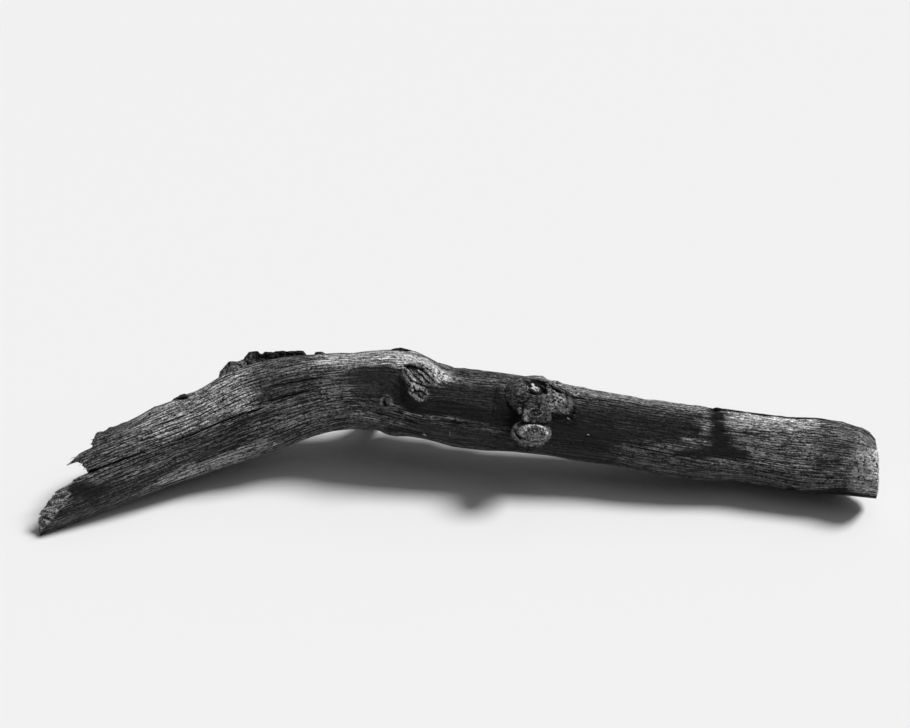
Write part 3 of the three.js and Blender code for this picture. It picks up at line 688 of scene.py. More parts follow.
NECK_ARCS = (
    Arc((-2.4, 1), 0, 0.75, tone=0.36, lift=0.1),
    Arc((-2.5, -0.2), 0, 0.75, tone=0.44, lift=0.1),
    Arc((-2.5, -1.4), 0, 0.75, tone=0.44, lift=0.1),
    Arc((-2.4, -2.4), 0, 0.6, tone=0.34, lift=0.1),
    Arc((-2.7, 0), 0, 0.14, tone=0.02, lift=-0.2),
    Arc((-2.6, -1.2), 0, 0.14, tone=0.02, lift=-0.2),
    Arc((-2.6, -2.3), 0, 0.14, tone=0.02, lift=-0.2),
    Arc((-0.4, 0.6), 1.65, 0.2, tone=0.24, lift=0.2),
    Arc((-0.4, 0.6), 0.7, 0.7, tone=0.06, lift=-0.1),
    Arc((0.5, 1.3), 0, 0.42, tone=0.006, lift=-0.4),
    Arc((0.6, 0.2), 0, 0.3, tone=0.012, lift=-0.3),
    Arc((-0.2, 0.5), 0, 0.2, tone=0.24, lift=0.1),
    Arc((1.9, 1.4), 0, 0.22, tone=0.012, lift=-0.3),
    Arc((2.6, 0.6), 0, 0.2, tone=0.2, lift=0.1),
    Arc((2.3, -0.6), 0, 0.22, tone=0.012, lift=-0.3),
    Arc((2.9, -1.6), 0, 0.2, tone=0.16, lift=0.1),
    Arc((2, -1.9), 0, 0.2, tone=0.012, lift=-0.3),
    Arc((0.8, -2.2), 0, 0.2, tone=0.16, lift=0.1),
)

# Section of a patch of bark, by turns round it: how far up its rows are, how far they are from its
# front edge to its back edge, and how much of the ramp of its front edge they take
SECTION_TOP = ((0.0, 0.2, 0.8, 0.88, 1.0), (0.0, 1.0, 1.0, 0.0, 0.0))
SECTION_OVER = ((0.0, 0.2, 0.8, 0.88, 1.0), (0.0, 0.04, 0.97, 1.0, 0.0))
SECTION_RAMP = ((0.0, 0.2, 0.8, 1.0), (0.0, 1.0, 0.0, 0.0))

# Station, height, and degrees of the front edge and the back edge of each patch of bark
CRUST_OUTLINE = (
    (-52.7, 0, -26, -50), (-52.1, 0.95, -18, -70), (-50.6, 1.7, -14, -84), (-49.8, 2.15, -14, -92),
    (-48.5, 1.65, -13, -98), (-47.6, 1.35, -20, -102), (-46.4, 2.1, -27, -106), (-45.4, 2.85, -28, -110),
    (-43.6, 2.6, -28, -114), (-43.3, 1.85, -28, -114), (-42.8, 1.75, -28, -112), (-42.4, 2.1, -28, -110),
    (-40.5, 1.55, -28, -106), (-40.1, 1.75, -28, -104), (-37.5, 1.35, -27, -96), (-34.5, 1.1, -28, -80),
    (-34.2, 0, -30, -60),
)
LUMP_OUTLINE = (
    (-32.5, 0, -34, -42), (-32, 0.75, -31, -44), (-30.9, 0.7, -31, -44), (-30.3, 0.35, -33, -43),
    (-29.4, 0, -35, -40),
)
RIDGE_OUTLINE = (
    (-16.8, 0, -38, -58), (-15.9, 0.45, -34, -64), (-14.5, 0.7, -31, -66), (-13.3, 0.5, -31, -62),
    (-12.3, 0, -36, -56),
)
STRIP_OUTLINE = (
    (60.4, 0, -30, -46), (61.2, 0.45, -21, -58), (63, 0.4, -22, -51), (66, 0.35, -25, -55),
    (69, 0.3, -26, -49), (73, 0.25, -28, -52), (77, 0.2, -29, -47), (82, 0.2, -31, -50),
    (86, 0.2, -32, -46), (90, 0, -37, -42),
)
FLAKE_OUTLINE = (
    (-64.4, 0, -32, -42), (-63.8, 0.35, -28, -46), (-62, 0.55, -20, -48), (-60.8, 0.5, -17, -46),
    (-60.4, 0, -20, -40),
)

FIBRES = (
    Fibre(-87.6, 12, 1.6, (-0.9, -0.1, -0.2), (0.1, 0, -0.3)),
    Fibre(-86.6, 26, 1.3, (-0.9, -0.2, -0.5), (0, 0, -0.2)),
    Fibre(-86.3, 33, 1.1, (-0.8, -0.3, -0.6), (0.1, -0.1, -0.2)),
    Fibre(-86.2, 38, 1, (-0.9, -0.3, -0.2), (0, 0, 0.3)),
    Fibre(-88, 46, 0.9, (-0.8, 0, 0.5), (0.2, 0, 0.2)),
    Fibre(-83, 2, 1.3, (-0.9, 0, -0.35), (0, 0, 0.2), tone=0.15),
    Fibre(-82.6, -8, 1.1, (-0.9, 0, 0.1), (0, 0, -0.2), tone=0.15),
    Fibre(-99.4, 100, 1, (-0.9, -0.2, 0.3), (0, 0, 0.2), tone=0.4),
    Fibre(0.1, 90, 1.2, (0.05, -0.15, -1), radius=0.13, tone=0.5),  # pale chips lying on the wood
    Fibre(-4.9, 106, 1, (0.8, -0.3, -0.5), radius=0.34, tone=0.5),
    Fibre(26.3, 45, 0.8, (0.9, -0.2, -0.4), radius=0.2, tone=0.3),
    Fibre(31.5, 66, 0.6, (1, 0, -0.1), radius=0.15, tone=0.45),
    Fibre(26, 67, 0.5, (1, 0, 0), radius=0.12, tone=0.4),
    Fibre(23.5, 93, 0.9, (1, 0, 0.05), radius=0.14, tone=0.3),
    Fibre(61, 81, 0.5, (0.9, -0.2, 0.2), radius=0.16, tone=0.4),
    Fibre(98.9, 70, 1.2, (1, 0.1, 0.3), (0, 0, 0.4), 0.06, 0.6),
    Fibre(98.9, 84, 1.4, (1, 0.1, -0.1), (0, 0, 0.3), 0.06, 0.6),
    Fibre(99.1, 93, 1, (1, 0, -0.2), (0, 0, -0.3), 0.06, 0.6),
    Fibre(94.4, -32, 0.9, (0.9, 0, 0.2), (0.2, 0, -0.2), 0.12, 0.1),
    Fibre(96.4, -26, 1, (0.9, 0, 0.3), (0.2, 0, -0.2), 0.12, 0.15),
    Fibre(99.2, 88, 1.2, (1, 0.3, 0.1), (0, 0, -0.4), 0.08, 0.4),
    Fibre(99.2, 64, 0.9, (1, 0.3, 0), (0, 0, 0.3), 0.08, 0.4),
    Fibre(99.2, 52, 0.8, (1, 0.2, 0.2), (0, 0, -0.3), 0.08, 0.4),
    Fibre(99, 20, 1.3, (0.6, -0.5, 0.6), (0.3, 0, 0.2), 0.05, 0.5),
    Fibre(99, 45, 1.2, (0.8, -0.5, 0.2), (-0.2, 0, 0.3), 0.05, 0.5),
    Fibre(99, 62, 1.1, (0.7, -0.6, -0.1), (0.3, 0, 0.3), 0.05, 0.5),
)


@dataclass
class Limb:
    """The bent limb: its centreline, its mean radius and its broad lumps."""

    stations: Array = field(default_factory=lambda: STATIONS)
    lobes: Pair = (0.12, 0.07)  # heights of its three and of its five lobes
    worn_deg: float = -42.0  # middle of the worn top corner at the cut end
    worn_reach: float = 64.0  # degrees from there to where the wear ends
    worn_from: float = 88.0
    worn_step: Pair = (92.4, 93.4)
    corner_from: float = 94.8
    corner_depth: float = 3.0

    def along(self, x: Array | float, column: Course) -> Array:
        """A smooth curve through one value of the stations.

        Args:
            x: Stations in millimetres.
            column: The value that is wanted.

        Returns:
            The value at each x.
        """
        xs, ys = self.stations[:, 0], self.stations[:, column]
        slopes = np.empty_like(ys)
        slopes[1:-1] = (ys[2:] - ys[:-2]) / (xs[2:] - xs[:-2])
        slopes[0] = (ys[1] - ys[0]) / (xs[1] - xs[0])
        slopes[-1] = (ys[-1] - ys[-2]) / (xs[-1] - xs[-2])
        i = np.clip(np.searchsorted(xs, x) - 1, 0, len(xs) - 2)
        h = xs[i + 1] - xs[i]
        t = (x - xs[i]) / h
        return (
            (2 * t**3 - 3 * t**2 + 1) * ys[i]
            + (t**3 - 2 * t**2 + t) * h * slopes[i]
            + (3 * t**2 - 2 * t**3) * ys[i + 1]
            + (t**3 - t**2) * h * slopes[i + 1]
        )

    def centre(self, x: Array | float) -> Array:
        """Centre of the limb at x."""
        return np.stack([x, self.along(x, Course.Y), self.along(x, Course.Z)], -1)

    def axes(self, x: Array) -> tuple[Array, Array, Array]:
        """The limb's centre and the two directions across it.

        Args:
            x: Stations in millimetres.

        Returns:
            The centre, the upward normal and the forward normal at each x.
        """
        step = 0.05
        way = self.centre(x + step) - self.centre(x - step)
        way /= np.linalg.norm(way, axis=-1, keepdims=True)
        up = -way * way[..., 2:3]
        up[..., 2] += 1.0
        up /= np.linalg.norm(up, axis=-1, keepdims=True)
        return self.centre(x), up, np.cross(way, up)

    def radius(self, x: Array, deg: Array) -> Array:
        """Radius of the limb at each place: the mean one with its lobes, lumps and worn corner.

        Args:
            x: Stations in millimetres.
            deg: Degrees round the limb.

        Returns:
            The radius in millimetres.
        """
        mean = self.along(x, Course.RADIUS)
        turn = deg * RAD
        radius = mean + self.lobes[0] * np.sin(3 * turn + x / 21) + self.lobes[1] * np.sin(5 * turn - x / 13)
        for lump in LUMPS:
            dx = (x - lump.x) / lump.along
            dr = turn_between(lump.deg, deg) * RAD * mean / lump.round
            radius = radius + lump.height * eased(1.0, lump.flat, np.hypot(dx, dr))
        return radius - self.worn(x, deg)

    def worn(self, x: Array, deg: Array) -> Array:
        """How much of the top corner is worn away before the cut end.

        Args:
            x: Stations in millimetres.
            deg: Degrees round the limb.

        Returns:
            The lost height in mm: a step, a slope and a rounded corner.
        """
        share = 1.0 - np.minimum(np.abs(turn_between(self.worn_deg, deg)) / self.worn_reach, 1.0)
        run = np.maximum(x - self.worn_from, 0.0) / (CUT_X - self.worn_from)
        slope = 0.3 * eased(*self.worn_step, x) + 0.2 * run**1.5
        corner = self.corner_depth * (np.maximum(x - self.corner_from, 0.0) / (CUT_X - self.corner_from)) ** 2
        return (slope + corner) * np.sqrt(share)

    def point(self, x: Array, deg: Array, share: Array | float = 1.0, lift: Array | float = 0.0) -> Array:
        """Points of the limb, in its own millimetres.

        Args:
            x: Stations.
            deg: Degrees round the limb.
            share: Share of the radius, below 1 inside the limb.
            lift: Height above the broad surface, in mm.

        Returns:
            An array of points, with x, y and z last.
        """
        centre, up, front = self.axes(x)
        radius = self.radius(x, deg) * share + lift
        turn = deg * RAD
        return centre + (radius * np.cos(turn))[..., None] * up + (radius * np.sin(turn))[..., None] * front

    def cut_station(self, deg: Array, share: float) -> Array:
        """Stations whose surface points lie on the plane of the cut end.

        Args:
            deg: Degrees round the limb.
            share: Share of the radius.

        Returns:
            A station for each place.
        """
        x = np.full(deg.shape, CUT_X)
        for _ in range(8):
            point = self.point(x, deg, share)
            plane = CUT_X + CUT_PER_Y * (point[..., 1] - CUT_Y) + CUT_PER_Z * (point[..., 2] - CUT_Z)
            x = x - (point[..., 0] - plane)
        return x


@dataclass
class Weathering:
    """What wind, rain and drying did to the surface: relief, lightness and grooves at each place."""

    noise: Noise = field(default_factory=lambda: Noise(41))
    base_tone: float = 0.17
    stained_tone: float = 0.05  # by which the wood from the bend to the dark band is darker
    strand_height: float = 0.09
    furrow_depth: float = 0.16
    rib_height: float = 0.08
    wool_height: float = 0.10
    scale_size: Pair = (1.3, 0.62)
    scale_slant: float = 30.0
    scale_height: float = 0.4
    seam_depth: float = 0.22
    flaky_deg: float = -36.0  # middle of the flaking edge along the top
    flake_height: float = 0.28

    def flow(self, x: Array, deg: Array) -> Array:
        """The grain, which parts round the knots and makes rings in them.

        Args:
            x: Stations in millimetres.
            deg: Degrees round the limb.

        Returns:
            Degrees of the grain line that passes each place.
        """
        flowed = deg + 1.6 * self.noise.over(x, deg, 26.0, 7, 1) + 0.7 * self.noise.over(x, deg, 9.0, 15, 2)
        for knot in KNOTS:
            dx = (x - knot.x) / knot.stretch
            dy = in_mm(turn_between(knot.deg, deg))
            away = np.maximum(dx * dx + dy * dy, knot.radius**2)
            inside = np.minimum(np.hypot(dx, dy) - knot.radius, 0.0)
            flowed = flowed + (0.8 * inside - dy * knot.radius**2 / away) / (RAD * ROUND_RADIUS)
        return flowed

    def straight(self, x: Array, deg: Array, share: Array | float = 1.0) -> Array:
        """Places as they were if the limb were straightened: the grain's own space.

        Args:
            x: Stations in millimetres.
            deg: Degrees round the limb.
            share: Share of the radius.

        Returns:
            The places in centimetres.
        """
        flowed = self.flow(x, deg) * RAD
        radius = share * ROUND_RADIUS
        return np.stack([x, radius * np.cos(flowed), radius * np.sin(flowed)], -1) * 0.1

    def cells(self, x: Array, deg: Array, size: Pair, slant: float) -> tuple[Array, Array]:
        """Blocks of cracked bark: how far each place is from the cracks, and the number of its block.

        Args:
            x: Stations in millimetres.
            deg: Degrees round the limb.
            size: Length of a block along the limb and its width round it, in mm.
            slant: Degrees by which the blocks are turned from the limb's direction.

        Returns:
            The distance from the nearest crack as a share of a block, and a random number per block.
        """
        across, cos, sin = in_mm(deg), math.cos(slant * RAD), math.sin(slant * RAD)
        u, v = (x * cos + across * sin) / size[0], (across * cos - x * sin) / size[1]
        first, second = np.full(u.shape, 9.0), np.full(u.shape, 9.0)
        number = np.zeros(u.shape)
        table = np.random.default_rng((self.noise.seed, 70)).uniform(0.12, 0.88, (64, 64, 3))
        for i, j in ((i, j) for i in (-1, 0, 1) for j in (-1, 0, 1)):
            column, row = np.floor(u).astype(int) + i, np.floor(v).astype(int) + j
            seed = table[column % 64, row % 64]
            away = np.hypot(column + seed[..., 0] - u, row + seed[..., 1] - v)
            nearer = away < first
            second = np.where(nearer, first, np.minimum(second, away))
            number = np.where(nearer, seed[..., 2], number)
            first = np.minimum(first, away)
        return second - first, number

    def marked(self, x: Array, deg: Array, grain: Array) -> tuple[Surface, Array]:
        """The surface with all its marks laid over each other, without the relief of the grain.

        Args:
            x: Stations in millimetres.
            deg: Degrees round the limb.
            grain: Degrees of the grain lines.

        Returns:
            The surface, and how scaly each place is.
        """
        noise = self.noise
        base = self.base_tone - self.stained_tone * eased(-8.0, 6.0, x) * eased(66.0, 60.0, x)
        tone = base + 0.04 * noise.over(x, grain, 16.0, 22, 26) + 0.03 * noise.over(x, deg, 4.0, 24, 27)
        lift, calm, wool, plates, groove = (np.zeros(x.shape) for _ in range(5))
        for number, mark in enumerate(MARKS):
            cover = mark.cover(x, deg, noise, number) * mark.weight
            tone = tone + (mark.tone - tone) * cover
            lift = lift + mark.lift * cover
            deep = cover * eased(0.03, 0.01, mark.tone) * eased(-0.2, -0.5, mark.lift)
            groove = np.maximum(groove * (1 - cover), deep)
            calm = np.maximum(calm * (1 - cover), mark.calm * cover)
            wool = np.maximum(wool * (1 - cover), mark.wool * cover)
            plates = np.maximum(plates * (1 - cover), mark.plates * cover)
        return Surface(tone, groove, 1.0 - calm, wool, lift), plates

    def surface(self, x: Array, deg: Array) -> Surface:
        """All that is known of the surface at each place.

        Args:
            x: Stations in millimetres.
            deg: Degrees round the limb.

        Returns:
            The surface with its marks, its grain, its scales and its flaking edge.
        """
        noise = self.noise
        grain = self.flow(x, deg)
        found, plates = self.marked(x, deg, grain)
        strand = noise.over(x, grain, 6.0, 96, 22)
        rib = noise.over(x, grain, 30.0, 30, 23)
        bumps = noise.over(x, deg, 1.1, 52, 24)
        breaks = noise.over(x, grain, 5.0, 46, 11)
        furrow = eased(0.13, 0.03, np.abs(noise.over(x, grain, 9.0, 60, 12))) * eased(0.0, 0.3, breaks)
        fibrous = found.rough * (self.strand_height * strand - self.furrow_depth * furrow)
        relief = fibrous + self.rib_height * rib + self.wool_height * found.wool * bumps
        chips = noise.over(x, deg, 2.2, 26, 31)
        bent = (x + 0.4 * bumps + 1.1 * chips, deg + 3.5 * bumps - 5.0 * chips)
        border, number = self.cells(*bent, self.scale_size, self.scale_slant)
        seam = eased(0.24, 0.04, border) * plates
        relief = relief + plates * self.scale_height * (number - 0.5) - self.seam_depth * seam
        found.tone = np.clip(found.tone * (1.0 + plates * 1.1 * (number - 0.5)), 0.004, 0.8)
        edge = eased(34.0, 14.0, np.abs(turn_between(self.flaky_deg, deg)))
        edge = edge * (0.5 + 0.5 * eased(-50.0, -60.0, x))
        flakes = noise.over(x, deg, 0.9, 44, 29) + 0.8 * eased(-0.1, 0.1, noise.over(x, deg, 2.4, 20, 30))
        relief = relief + self.flake_height * edge * flakes * (1 - plates)
        groove = np.maximum(np.maximum(found.groove, found.rough * 0.8 * furrow), 0.65 * seam)
        found.groove = np.clip(groove, 0.0, 1.0)
        found.wool = np.clip(found.wool, 0.0, 1.0)
        found.lift = found.lift + relief
        return found


class Bench:
    """The few operator calls that every piece is made with."""

    @staticmethod
    def clear() -> None:
        """Leaves edit mode and deselects every object."""
        if bpy.context.object and bpy.context.object.mode != "OBJECT":
            bpy.ops.object.mode_set(mode="OBJECT")
        bpy.ops.object.select_all(action="DESELECT")

    @staticmethod
    def points(piece: bpy.types.Object) -> Array:
        """Where the vertices of a piece are.

        Args:
            piece: The piece.

        Returns:
            A row of x, y and z for each vertex.
        """
        places = np.empty(len(piece.data.vertices) * 3)
        piece.data.vertices.foreach_get("co", places)
        return places.reshape(-1, 3)

    @staticmethod
    def write(piece: bpy.types.Object, name: str, values: Array) -> None:
        """Stores one value, or one vector, per vertex as an attribute of the mesh.

        Args:
            piece: The piece.
            name: Name of the attribute.
            values: A value for each vertex.
        """
        kind, key = ("FLOAT", "value") if values.ndim == 1 else ("FLOAT_VECTOR", "vector")
        layer = piece.data.attributes.new(name, kind, "POINT")
        layer.data.foreach_set(key, values.astype(np.float32).ravel())

    @staticmethod
    def face_out(piece: bpy.types.Object) -> None:
        """Turns all faces of a piece outwards and shades them smoothly.

        Args:
            piece: The piece.
        """
        Bench.clear()
        piece.select_set(True)
        bpy.context.view_layer.objects.active = piece
        bpy.ops.object.mode_set(mode="EDIT")
        bpy.ops.mesh.select_all(action="SELECT")
        bpy.ops.mesh.normals_make_consistent(inside=False)
        bpy.ops.object.mode_set(mode="OBJECT")
        bpy.ops.object.shade_smooth()


@dataclass
class Tube:
    """A closed tube of rings, from which every piece is shaped, with each vertex's ring and row."""

    piece: bpy.types.Object
    ring: Array
    row: Array  # -1 at the centres of the two ends

    @staticmethod
    def rolled(name: str, rings: int, rows: int) -> "Tube":
        """Makes a tube from a cylinder whose long edges are subdivided.

        Args:
            name: Name of the piece.
            rings: Number of rings.
            rows: Points in a ring.

        Returns:
            The tube, still straight and even.
        """
        Bench.clear()
        length = rings - 1.0
        bpy.ops.mesh.primitive_cylinder_add(vertices=rows, radius=1.0, depth=length, end_fill_type="TRIFAN")
        piece = bpy.context.active_object
        piece.name = piece.data.name = name
        mesh = piece.data
        bpy.ops.object.mode_set(mode="EDIT")
        bpy.ops.mesh.select_mode(type="EDGE")
        bpy.ops.mesh.select_all(action="DESELECT")
        bpy.ops.object.mode_set(mode="OBJECT")
        points = Bench.points(piece)
        ends = np.empty(len(mesh.edges) * 2, dtype=np.int32)
        mesh.edges.foreach_get("vertices", ends)
        ends = ends.reshape(-1, 2)
        mesh.edges.foreach_set("select", np.abs(points[ends[:, 0], 2] - points[ends[:, 1], 2]) > 0.5)
        bpy.ops.object.mode_set(mode="EDIT")
        bpy.ops.mesh.subdivide(number_cuts=rings - 2)
        bpy.ops.object.mode_set(mode="OBJECT")
        points = Bench.points(piece)
        ring = np.rint(points[:, 2] + (rings - 1) / 2).astype(int)
        turn = np.arctan2(points[:, 1], points[:, 0]) / (2 * math.pi)
        row = np.rint((turn % 1.0) * rows).astype(int) % rows
        row[np.hypot(points[:, 0], points[:, 1]) < 0.5] = -1
        return Tube(piece, ring, row)

    def finish(self, places: Array, surface: Surface, wood: Array) -> bpy.types.Object:
        """Moves the vertices to their places and stores what the finish reads.

        Args:
            places: Place of each ring and row, in the limb's millimetres.
            surface: Surface at each ring and row.
            wood: Place of each ring and row in the grain's own space.

        Returns:
            The finished piece.
        """
        at = (self.ring, np.maximum(self.row, 0))
        placed, grown = places[at], wood[at]
        for end in (0, len(places) - 1):
            centre = (self.row < 0) & (self.ring == end)
            placed[centre], grown[centre] = places[end].mean(axis=0), wood[end].mean(axis=0)
        standing = (placed - np.array([ORIGIN_X, ORIGIN_Y, 0.0])) * MM
        standing[:, 2] = np.maximum(standing[:, 2], CLEAR_OF_FLOOR * MM)
        self.piece.data.vertices.foreach_set("co", standing.ravel())
        self.piece.data.update()
        wear = np.stack([surface.groove[at], surface.rough[at], surface.wool[at]], -1)
        for name, values in (("tone", surface.tone[at]), ("wear", wear), ("wood", grown)):
            Bench.write(self.piece, name, values)
        Bench.face_out(self.piece)
        return self.piece


Rings = list[tuple[Array, float]]


@dataclass
class LimbSkin:
    """The skin of the limb, with its torn face, its cut face and all its relief."""

    limb: Limb
    weather: Weathering
    front: Pair = (-46.0, 146.0)  # degrees between which the rows are close together
    front_step: float = 0.8
    back_step: float = 2.7
    tooth_length: float = 0.42  # of the tongue's torn edge
    fray_length: float = 0.35
    torn_tone: float = 0.42
    cut_tone: float = 0.30
    # the rim of the cut face is painted light: a painted highlight where its edge catches the light
    rim_highlight_tone: float = 0.6
    rim_highlight_degs: Pair = (14.0, 116.0)  # degrees between which the last whole ring also carries the painted highlight of the cut's rim
    ring_width: float = 0.95
    sunk: float = 0.9  # how deep the skin lies under the finer skin of a knot

    def rows(self) -> Array:
        """Where the rows of the skin lie.

        Returns:
            Degrees round the limb, close together on the front.
        """
        front = np.arange(*self.front, self.front_step)
        count = int(round((360.0 - (front[-1] - front[0])) / self.back_step))
        back = np.linspace(front[-1], front[0] + 360.0, count + 1)[1:-1]
        return np.concatenate([front, back])

    @staticmethod
    def torn_x(deg: Array, share: float) -> Array:
        """x of the torn face.

        Args:
            deg: Degrees round the limb.
            share: Share of the radius.

        Returns:
            The station at each place.
        """
        rim, crest = (np.interp(deg, BREAK[:, 0], BREAK[:, part], period=360.0) for part in Torn)
        if share >= CREST_SHARE:
            return crest + (rim - crest) * (share - CREST_SHARE) / (1 - CREST_SHARE)
        return BREAK_CENTRE_X + (crest - BREAK_CENTRE_X) * eased(0.0, CREST_SHARE, share)

    def torn_rings(self, deg: Array) -> Rings:
        """Rings of the torn face, and of the tongue and the splinter up to where the limb is whole.

        Args:
            deg: Degrees of the rows.

        Returns:
            The stations of each ring, and its share of the radius.
        """
        noise = self.weather.noise
        tongue = eased(42.0, 46.0, deg) * eased(118.0, 104.0, deg)
        steps = self.tooth_length * tongue * np.tanh(5.0 * noise.over(6.0, deg, 8.0, 46, 56))
        jag = noise.over(3.0, deg, 8.0, 170, 52) + 0.8 * noise.over(3.0, deg, 8.0, 64, 53)
        rings = []
        for share in TORN_SHARES:
            spongy = 0.35 * noise.over(share * 30.0, deg, 0.8, 90, 51) * min(share * 3, 1)
            rings.append((self.torn_x(deg, share) + spongy + (self.fray_length * jag + steps) * share, share))
        rim = self.torn_x(deg, 1.0) + 0.3 * jag + steps
        ahead = np.linspace(0.0, 1.0, 24, endpoint=False) ** 1.25
        return rings + [(rim + (BREAK_MEET_X - rim) * t, 1.0) for t in ahead]

    @staticmethod
    def whole_rings() -> Rings:
        """Whole rings, closer together at the dark band.

        Returns:
            The station of each ring, and its share of the radius.
        """
        rings, start = [], BREAK_MEET_X
        for end, spacing in STRETCHES:
            count = int(round((end - start) / spacing))
            rings += [(x, 1.0) for x in np.linspace(start, end, count, endpoint=False)]
            start = end
        return rings + [(start, 1.0)]

    def cut_rings(self, deg: Array) -> Rings:
        """Rings from the last whole one to the cut, and those of the cut face.

        Args:
            deg: Degrees of the rows.

        Returns:
            The stations of each ring, and its share of the radius.
        """
        noise = self.weather.noise
        start = STRETCHES[-1][0]
        cut = self.limb.cut_station(deg, 1.0)
        fuzz = 0.22 * noise.over(9.0, deg, 8.0, 120, 54)
        rings = [(start + (cut + fuzz - start) * t, 1.0) for t in (*np.linspace(0.0, 1.0, 15)[1:-1], 0.97)]
        for share in CUT_SHARES:
            uneven = 0.10 * noise.over(share * 40.0, deg, 1.0, 90, 55) if share < CUT_SHARES[0] else fuzz
            rings.append((self.limb.cut_station(deg, share) + uneven, share))
        return rings

    def tint_faces(self, surface: Surface, x: Array, deg: Array, share: Array) -> None:
        """Gives the torn face its spongy fibres, and the cut face its rings and a painted highlight along its
        rim.

        Args:
            surface: The surface, which is changed.
            x: Stations in millimetres.
            deg: Degrees round the limb.
            share: Share of the radius.
        """
        noise = self.weather.noise
        torn, cut = (share < 1.0) & (x < 0), (share < CUT_SHARES[0]) & (x > 0)
        spongy = noise.over(x + 40 * share, deg, 0.5, 170, 61)
        surface.tone = np.where(torn, self.torn_tone + 0.16 * spongy, surface.tone)
        surface.groove = np.where(torn, 0.45 * eased(-0.2, -0.6, spongy), surface.groove)
        # painted highlight: the outer ring of the cut face, and the front of the ring before it, are painted
        # light
        surface.tone = np.where(share == CUT_SHARES[0], self.rim_highlight_tone, surface.tone)
        last = len(x) - len(CUT_SHARES) - 1
        frayed = (deg[last] > self.rim_highlight_degs[0]) & (deg[last] < self.rim_highlight_degs[1])
        surface.tone[last] = np.where(frayed, self.rim_highlight_tone, surface.tone[last])
        sway = 1.2 * noise.over(x, deg, 30.0, 5, 62)
        growth = np.sin(share * 9.0 * 2 * math.pi / self.ring_width + sway)
        surface.tone = np.where(cut, self.cut_tone + 0.10 * growth + 0.06 * spongy, surface.tone)
        checks = 0.5 * eased(0.2, -0.5, noise.over(x, deg, 30.0, 46, 63))
        surface.groove = np.where(cut, checks, surface.groove)
        surface.rough = np.where(torn | cut, 0.7, surface.rough)
        surface.wool = np.where(torn | cut, 0.6, surface.wool)
        surface.lift = np.where(torn | cut, surface.lift * share**4, surface.lift)

    def build(self) -> bpy.types.Object:
        """Builds the skin as one closed piece with its attributes.

        Returns:
            The piece.
        """
        row_deg = self.rows()
        rings = self.torn_rings(row_deg) + self.whole_rings() + self.cut_rings(row_deg)
        x = np.array([np.broadcast_to(stations, row_deg.shape) for stations, _ in rings])
        share = np.array([np.full(row_deg.shape, ring_share) for _, ring_share in rings])
        deg = np.broadcast_to(row_deg, x.shape)
        tube = Tube.rolled("limb_skin", *x.shape)
        surface = self.weather.surface(x, deg)
        self.tint_faces(surface, x, deg, share)
        for span in (BEND_KNOT_SPAN, COLLAR_SPAN):
            surface.lift = surface.lift - self.sunk * span.inside(x, deg, 1.0, 2.6)
        droop = eased(-86.0, -89.8, x) * eased(4.0, 9.0, deg) * eased(27.0, 19.0, deg)
        places = self.limb.point(x, deg + 8.0 * droop, share, surface.lift)
        return tube.finish(places, surface, self.weather.straight(x, deg, share))


@dataclass(frozen=True)
class KnotSkin:
    """The skin of a knot, modelled more finely than the limb's and let into it."""

    name: str
    limb: Limb
    weather: Weathering
    span: Span
    step: float = 0.15
    under: int = 8  # rows on the hidden underside
    buried: float = 1.3

    def build(self) -> bpy.types.Object:
        """Builds the skin of the knot as one closed piece with its attributes.

        Returns:
            The piece.
        """
        x = np.arange(self.span.start, self.span.end + self.step, self.step)
        top = np.arange(self.span.first, self.span.last, self.step / (RAD * 1.1 * ROUND_RADIUS))
        deg = np.concatenate([top, np.linspace(top[-1], top[0], self.under + 2)[1:-1]])
        below = np.concatenate([np.zeros(len(top)), np.ones(self.under)])
        x, deg, below = np.broadcast_arrays(x[:, None], deg[None, :], below[None, :])
        tube = Tube.rolled(self.name, *x.shape)
        surface = self.weather.surface(x, deg)
        shown = self.span.inside(x, deg, -0.1, 0.12) * (1 - below)
        edge = self.span.inside(x, deg, 0.1, 2.0)
        lift = (surface.lift + 0.08 * edge - 0.03) * shown - self.buried * (1 - shown) - 0.3 * below
        return tube.finish(self.limb.point(x, deg, 1.0, lift), surface, self.weather.straight(x, deg))


